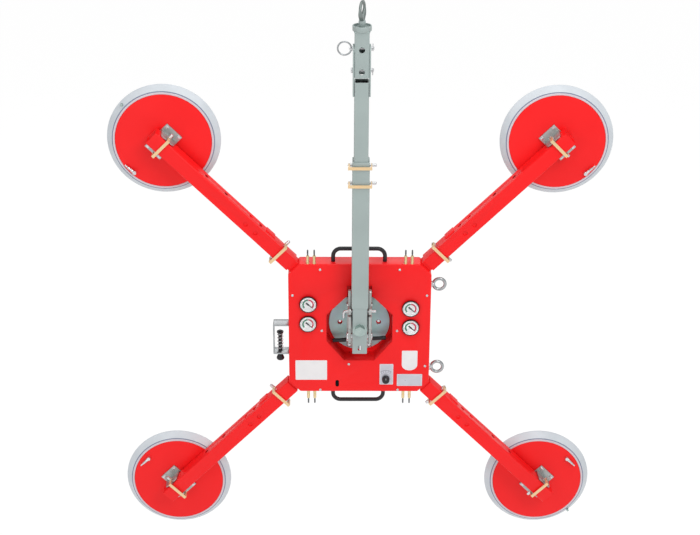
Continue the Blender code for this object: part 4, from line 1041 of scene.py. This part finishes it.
def shield_plate(x0, x1, z0, z1, radius):
    """Outline of a plate with a round bottom and rounded upper corners."""
    half = (x1 - x0) / 2
    drop = half * 0.82
    low = [((x0 + x1) / 2 + half * math.cos(math.radians(a)), z0 + drop + drop * math.sin(math.radians(a)))
        for a in range(180, 361, 6)]
    corners = arc((x1 - radius, z1 - radius), radius, 0, 90, 6)
    return low + corners + arc((x0 + radius, z1 - radius), radius, 90, 180, 6)


def printed(name, blocks, depth):
    """Thin pale bars on a plate, given as (x0, x1, z0, z1)."""
    front = BOX_FRONT - depth
    bars = (block(x0, x1, front - 0.12, front + 0.1, z0, z1) for x0, x1, z0, z1 in blocks)
    show(gather(bars, name), name, "label_white", "chassis")


def frame_bars(x0, x1, z0, z1, width):
    """Four bars of a rectangular printed border."""
    return [(x0, x1, z0, z0 + width), (x0, x1, z1 - width, z1), (x0, x0 + width, z0 + width, z1 - width),
        (x1 - width, x1, z0 + width, z1 - width)]


def dress_labels():
    """Blank plates of the box front: scale plate, shield label, silver plate and sticker."""
    front_plate("knob_plate", "label_silver", corner_plate(75.5, 126, -227, -142, 2.5), 0.8, 0.25)
    printed("knob_plate_border", frame_bars(77, 124.5, -225.5, -143.5, 1.2), 0.8)
    scale = band(KNOB_AT, 36, 34.9, *SCALE_ENDS, 20)
    show(prism(scale, BOX_FRONT - 0.92, BOX_FRONT - 0.7, "Y"), "knob_scale_arc", "print_grey", "chassis")
    start, end = SCALE_ENDS
    marks = [(start + (end - start) * index / 4, 26) for index in range(5)]
    radial_marks("knob_scale_marks", marks, 33, 0.45, 0.22, KNOB_AT, BOX_FRONT - 0.7)
    front_plate("shield_label", "label_white", shield_plate(156.5, 213.7, -168, -87, 3), 0.5, 0.15)
    front_plate("silver_plate", "label_silver", corner_plate(139.5, 233, -232.7, -183.5, 2), 0.9, 0.25)
    printed("silver_plate_border", frame_bars(141.5, 231, -230.7, -185.5, 1), 0.9)
    front_plate("blank_sticker", "label_white", corner_plate(-234, -118, -207.5, -127, 2.5), 0.4, 0.12)
    places = [(x, BOX_FRONT - 0.9, z) for x in (144.6, 227.9) for z in (-227.6, -188.6)]
    scatter(dome_screw(1.5), "silver_plate_rivets", "bright_steel", "chassis", (0, -1, 0), places)


def dress_catch():
    """Spring catch on the left side of the box, with bracket, coil spring and plunger."""
    x, y = CATCH_AT
    outline = [(-258, -106)] + arc((-311, -102), 4, 270, 180, 6)
    outline += arc((-311, 9), 4, 180, 90, 6)
    outline += [(-258, 13), (-258, 8), (-310, 8), (-310, -101), (-258, -101)]
    bracket = prism(outline, -80, -30, "Y")
    cut(bracket, rod(7.5, -115, -95, 32, "Z", (x, y, 0)))
    show(soften(bracket, 0.6, 2), "catch_frame", "ring_zinc", "chassis", "catch_bracket")
    plunger = revolve([(0, -140), (7.4, -140), (9.4, -139.6), (12.6, -137.4), (14.2, -134.6),
        (14.5, -131.6), (13.2, -127.2), (11, -122.4), (9.6, -119.4), (9, -117), (7, -117), (7, -28),
        (12.1, -28), (12.5, -27.6), (12.5, -23.9), (12.1, -23.5), (7, -23.5), (7, -20.7), (5.8, -19.5),
        (0, -19.5)], 48, "Z", (x, y, 0))
    coil = draw_coil(x, y, SPRING_LOW + 1.7, SPRING_HIGH - 1.7, 5, 10.2, 1.2)
    show(coil, "catch_coil", "bright_steel", "chassis", "catch_spring")
    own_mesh(coil)
    show(plunger, "catch_pin", "black_plastic", "catch_plunger", "catch_plunger")


def draw_coil(x, y, low, high, turns, radius, wire, per_turn=28, sides=8):
    """A coil spring standing on Z, with its centre line from low to high."""
    bm = bmesh.new()
    rings = []
    for step in range(turns * per_turn + 1):
        angle = math.tau * step / per_turn
        outward = Vector((math.cos(angle), math.sin(angle), 0))
        centre = Vector((x, y, low + (high - low) * step / (turns * per_turn))) + outward * radius
        around = [math.tau * side / sides for side in range(sides)]
        spots = [centre + outward * (math.cos(a) * wire) + Vector((0, 0, math.sin(a) * wire)) for a in
            around]
        rings.append([bm.verts.new(spot) for spot in spots])
    return skin(bm, rings)


def dress_eye_bolts():
    """Lifting eyes with collar."""
    for label, z in (("upper", 168), ("lower", -168)):
        middle, depth = EYE_BOLT_AT
        outline = arc((middle, z), EYE_BOLT_RADIUS, 0, 355, 71)
        ring = sweep([(x, depth, height) for x, height in outline], 5.9, 20, closed=True)
        show(ring, "eye_ring_" + label, "ring_zinc", "chassis", "eye_bolt_" + label)
        stem = revolve([(0, BOX_HALF + CLEAR), (12.2, BOX_HALF + CLEAR), (13, BOX_HALF + 1.1), (13, 261.2),
            (12.2, 262), (9.4, 262.6), (8, 264.5), (7.2, 268), (0, 268)], 40, "X", (0, depth, z))
        show(stem, "eye_collar_" + label, "bright_steel", "chassis")


def dress_arm(corner, patterns):
    """Sliding arm of one corner with its pins and straps."""
    frame = corner_frame(corner)
    body = "arm_" + corner
    show(twin(patterns["arm"]), "arm_tube_" + corner, "red_paint", body, body, frame=frame)
    for label, s in (("arm_bail_", ARM_PIN_S), ("cup_bail_", CUP_S)):
        at = frame @ Matrix.Translation((s, 0, ARM_Y))
        dress_pins(patterns, label + corner, body, label + corner, at)


def draw_arm():
    """Arm tube with smooth corners, light holes and wear pads, in the corner frame."""
    arm = fine_tube(ARM_HALF_T, ARM_HALF_Y, ARM_WALL, ARM_START, ARM_END, TO_ARM)
    for side in (-1, 1):
        low, high = sorted((side * (ARM_HALF_T - 1), side * (ARM_HALF_T + 3)))
        weld(arm, soften(block(458, 499, low, high, -50, -14), 0.8, 2))
    for s in (527, 574, 695.5, 790):
        cut(arm, rod(8.5, -40, 40, 28, "Y", (s, 0, ARM_Y)))
    for s in (527.5, 574):
        cut(arm, rod(8.5, ARM_Y - 40, ARM_Y - 20, 28, "Z", (s, 0, 0)))
    return soften(arm, 0.6, 2)


def draw_bracket():
    """Hat-shaped bracket, in the corner frame."""
    base = block(942, 1014, -58, 58, -6.3, -CLEAR)
    for side in (-1, 1):
        outline = [(944, -5)] + arc((961, -50), 11, 180, 270, 10)
        outline += arc((999, -50), 11, 270, 360, 10) + [(1013, -5)]
        low, high = sorted((side * 27.5, side * 32.5))
        cheek = moved(prism(outline, 0, high - low, "Y"), Matrix.Translation((0, low, 0)))
        cut(cheek, rod(PIN_RADIUS + 0.6, -40, 40, 28, "Y", (CUP_S, 0, ARM_Y)))
        weld(base, cheek)
    return soften(base, 0.9, 2)


def draw_plate():
    """Suction plate with a softly rolled rim, in the corner frame."""
    profile = [(0, 0), (PLATE_RADIUS - 2.4, 0), (PLATE_RADIUS - 0.9, 0.4), (PLATE_RADIUS, 1.8),
        (PLATE_RADIUS, PLATE_BODY - 0.8), (PLATE_RADIUS - 0.8, PLATE_BODY), (0, PLATE_BODY)]
    return revolve(profile, 128, "Z", CUP_CENTRE)


def draw_seal():
    """Soft seal with its flared flank and grooved face, in the corner frame."""
    profile = [(163, 8.3), (170.4, 8.3), (170.4, 7), (178.4, 7), (178.6, 5.4), (180.4, 5.2), (181.6, 6.2),
        (185, 9.6), (190, 14.8), (195, 20.2), (199.6, 25.2), (200.6, 26.8), (200.6, 28.4), (200, 31),
        (199, 34), (195.5, 34), (194, 32), (191, 32), (189.5, 34), (184, 34), (182.5, 32), (179.5, 32),
        (178, 34), (172, 34), (170.5, 32), (167.5, 32), (166, 34), (163, 34)]
    return revolve(profile, 144, "Z", CUP_CENTRE)


def draw_lip():
    """Clamping lip of the seal round the plate, in the corner frame."""
    profile = [(170.5, 7.2), (170.5, 2.2), (171.2, 1.4), (174.5, 0.9), (177, 1.5), (177.6, 2.6),
        (177.6, 7.2)]
    return revolve(profile, 144, "Z", CUP_CENTRE)


def draw_groove_shade():
    """Dark ring of painted shade at the foot of the groove between lip and flank, in the corner frame."""
    profile = [(177.7, 7.2), (177.7, 4.6), (180.9, 4.9), (181.2, 6), (180, 7.2)]
    return revolve(profile, 144, "Z", CUP_CENTRE)


# Pieces of a cup that all corners share: name, finish and the node it stands for
CUP_PIECES = (
    ("bracket", "galvanised", "cup_bracket"),
    ("cup_plate", "red_paint", "suction_plate"),
    ("cup_seal", "light_seal", "suction_seal"),
    ("cup_lip", "seal_lip"),
    ("cup_groove", "seal_groove"),
)


def dress_cup(corner, patterns):
    """Bracket, plate, seal, screws and hose nipple of one corner."""
    frame = corner_frame(corner)
    body = "cup_" + corner
    for label, paint, *nodes in CUP_PIECES:
        names = [name + "_" + corner for name in nodes]
        show(twin(patterns[label]), label + "_" + corner, paint, body, *names, frame=frame)
    places = [(s, t, -6.3) for s in (951, 1005) for t in (-50, 50)]
    scatter(hex_screw(10, 5), "bracket_screws_" + corner, "bright_steel", body, (0, 0, -1), places,
        frame=frame)
    side_x, side_z = CORNERS[corner]
    base = Vector((side_x * 106, 0, -116)) if side_z > 0 else Vector((side_x * 111, 0, 98))
    end = base + Vector((side_x * 34, 0, 31 if side_z > 0 else -34))
    to_local = frame.to_3x3().transposed()
    centre = Vector(CUP_CENTRE)
    base = to_local @ base + centre
    end = to_local @ end + centre
    along = (end - base).normalized()
    place = frame @ Matrix.Translation(base + Vector((0, 0, -7.5)))
    place = place @ along.to_track_quat("Z", "Y").to_matrix().to_4x4()
    foot = rod(6.8, -12.6, 1, 32, "Z", (base.x, base.y, 0), 0.8)
    show(foot, "nipple_foot_" + corner, "bright_steel", body, frame=frame)
    barrel = revolve([(0, 0), (4.4, 0), (4.8, 3), (4.8, 17), (4.2, 17.6), (4.2, 30.2), (3.4, 31),
        (2.7, 31.4), (3.2, 34.6), (2.5, 38.4), (3.1, 39), (2, 44), (0, 44)], 32)
    weld(barrel, soften(hexagon(9.6, 6, 14), 0.4))
    show(moved(barrel, place), "nipple_" + corner, "bright_steel", body)
    if side_x != side_z:
        valve = weld(rod(4.6, -9, 9, 24, chamfer=0.6), hexagon(7.6, -6, -1))
        show(moved(valve, frame @ Matrix.Translation((CUP_S + 191, side_x * 8, 10))),
            "seal_valve_" + corner, "bolt_zinc", body)


def stage_scene():
    """Floor, soft lights, world and camera."""
    scene = bpy.context.scene
    bm = bmesh.new()
    bmesh.ops.create_grid(bm, x_segments=2, y_segments=2, size=FLOOR_HALF)
    mesh = bpy.data.meshes.new("floor")
    bm.to_mesh(mesh)
    bm.free()
    floor = enter("floor", mesh)
    floor.location = FLOOR_AT
    paint = bpy.data.materials.new("floor_white")
    paint.use_nodes = True
    tree = paint.node_tree
    matt = {"Base Color": FLOOR_GREY, "Roughness": 0.9, "Specular IOR Level": 0}
    shader = feed(tree, tree.nodes["Principled BSDF"], matt)
    glow = node(tree, "ShaderNodeEmission", {"Color": WHITE, "Strength": FLOOR_GLOW})
    rays = node(tree, "ShaderNodeLightPath").outputs
    indirect = either(tree, rays["Is Glossy Ray"], rays["Is Transmission Ray"])
    seen = either(tree, rays["Is Camera Ray"], indirect)
    share = product(tree, seen, GLOW_SHARE)
    both = {"Fac": share, 1: shader.outputs["BSDF"], 2: glow.outputs["Emission"]}
    mix = node(tree, "ShaderNodeMixShader", both)
    feed(tree, tree.nodes["Material Output"], {"Surface": mix.outputs["Shader"]})
    mesh.materials.append(paint)
    for name, place, aim, size, power in LIGHTS:
        lamp = bpy.data.lights.new(name, "AREA")
        lamp.shape = "SQUARE"
        lamp.size = size
        lamp.energy = power
        obj = enter(name, lamp)
        obj.location = place
        obj.rotation_euler = (Vector(aim) - Vector(place)).to_track_quat("-Z", "Y").to_euler()
    world = scene.world or bpy.data.worlds.new("world")
    scene.world = world
    world.use_nodes = True
    tree = world.node_tree
    tree.nodes.clear()
    rays = node(tree, "ShaderNodeLightPath").outputs
    seen = either(tree, rays["Is Camera Ray"], rays["Is Transmission Ray"])
    level = node(tree, "ShaderNodeMapRange", {"Value": seen, "To Min": WORLD_LIGHT, "To Max": 1})
    back = node(tree, "ShaderNodeBackground", {"Color": WHITE, "Strength": level.outputs["Result"]})
    node(tree, "ShaderNodeOutputWorld", {"Surface": back.outputs["Background"]})
    camera = bpy.data.cameras.new("camera")
    camera.lens = CAMERA_LENS
    camera.sensor_width = 36
    camera.clip_end = 100
    eye = enter("camera", camera)
    eye.matrix_world = CAMERA_AT
    scene.camera = eye
    scene.view_settings.view_transform = "Standard"


def main():
    """Dress every body and set the stage."""
    dress_head()
    dress_mast()
    dress_foot()
    dress_yoke()
    dress_disc()
    dress_cover()
    dress_couplings()
    dress_handles()
    dress_gauges()
    dress_knob()
    dress_labels()
    dress_catch()
    dress_eye_bolts()
    patterns = {"pin": strap_pin(), "strap": strap_bail(), "rivet": bail_rivet(), "arm": draw_arm(),
        "bracket": draw_bracket(), "cup_plate": draw_plate(), "cup_seal": draw_seal(),
        "cup_lip": draw_lip(), "cup_groove": draw_groove_shade()}
    for label, height in zip(("upper", "lower"), MAST_PIN_Z):
        at = mast_pin_frame(height)
        dress_pins(patterns, "mast_pin_bail_" + label, "mast", "mast_bail_" + label, at)
    for corner in CORNERS:
        dress_arm(corner, patterns)
        dress_cup(corner, patterns)
    for pattern in patterns.values():
        bpy.data.objects.remove(pattern)
    slots = {part["node"]: part["material_slot"] for part in frame["record"]["subparts"]}
    for name, obj in frame["nodes"].items():
        if not obj.hide_render:
            obj.data.materials.clear()
            obj.data.materials.append(PAINTS[slots[name]])
    stage_scene()


main()
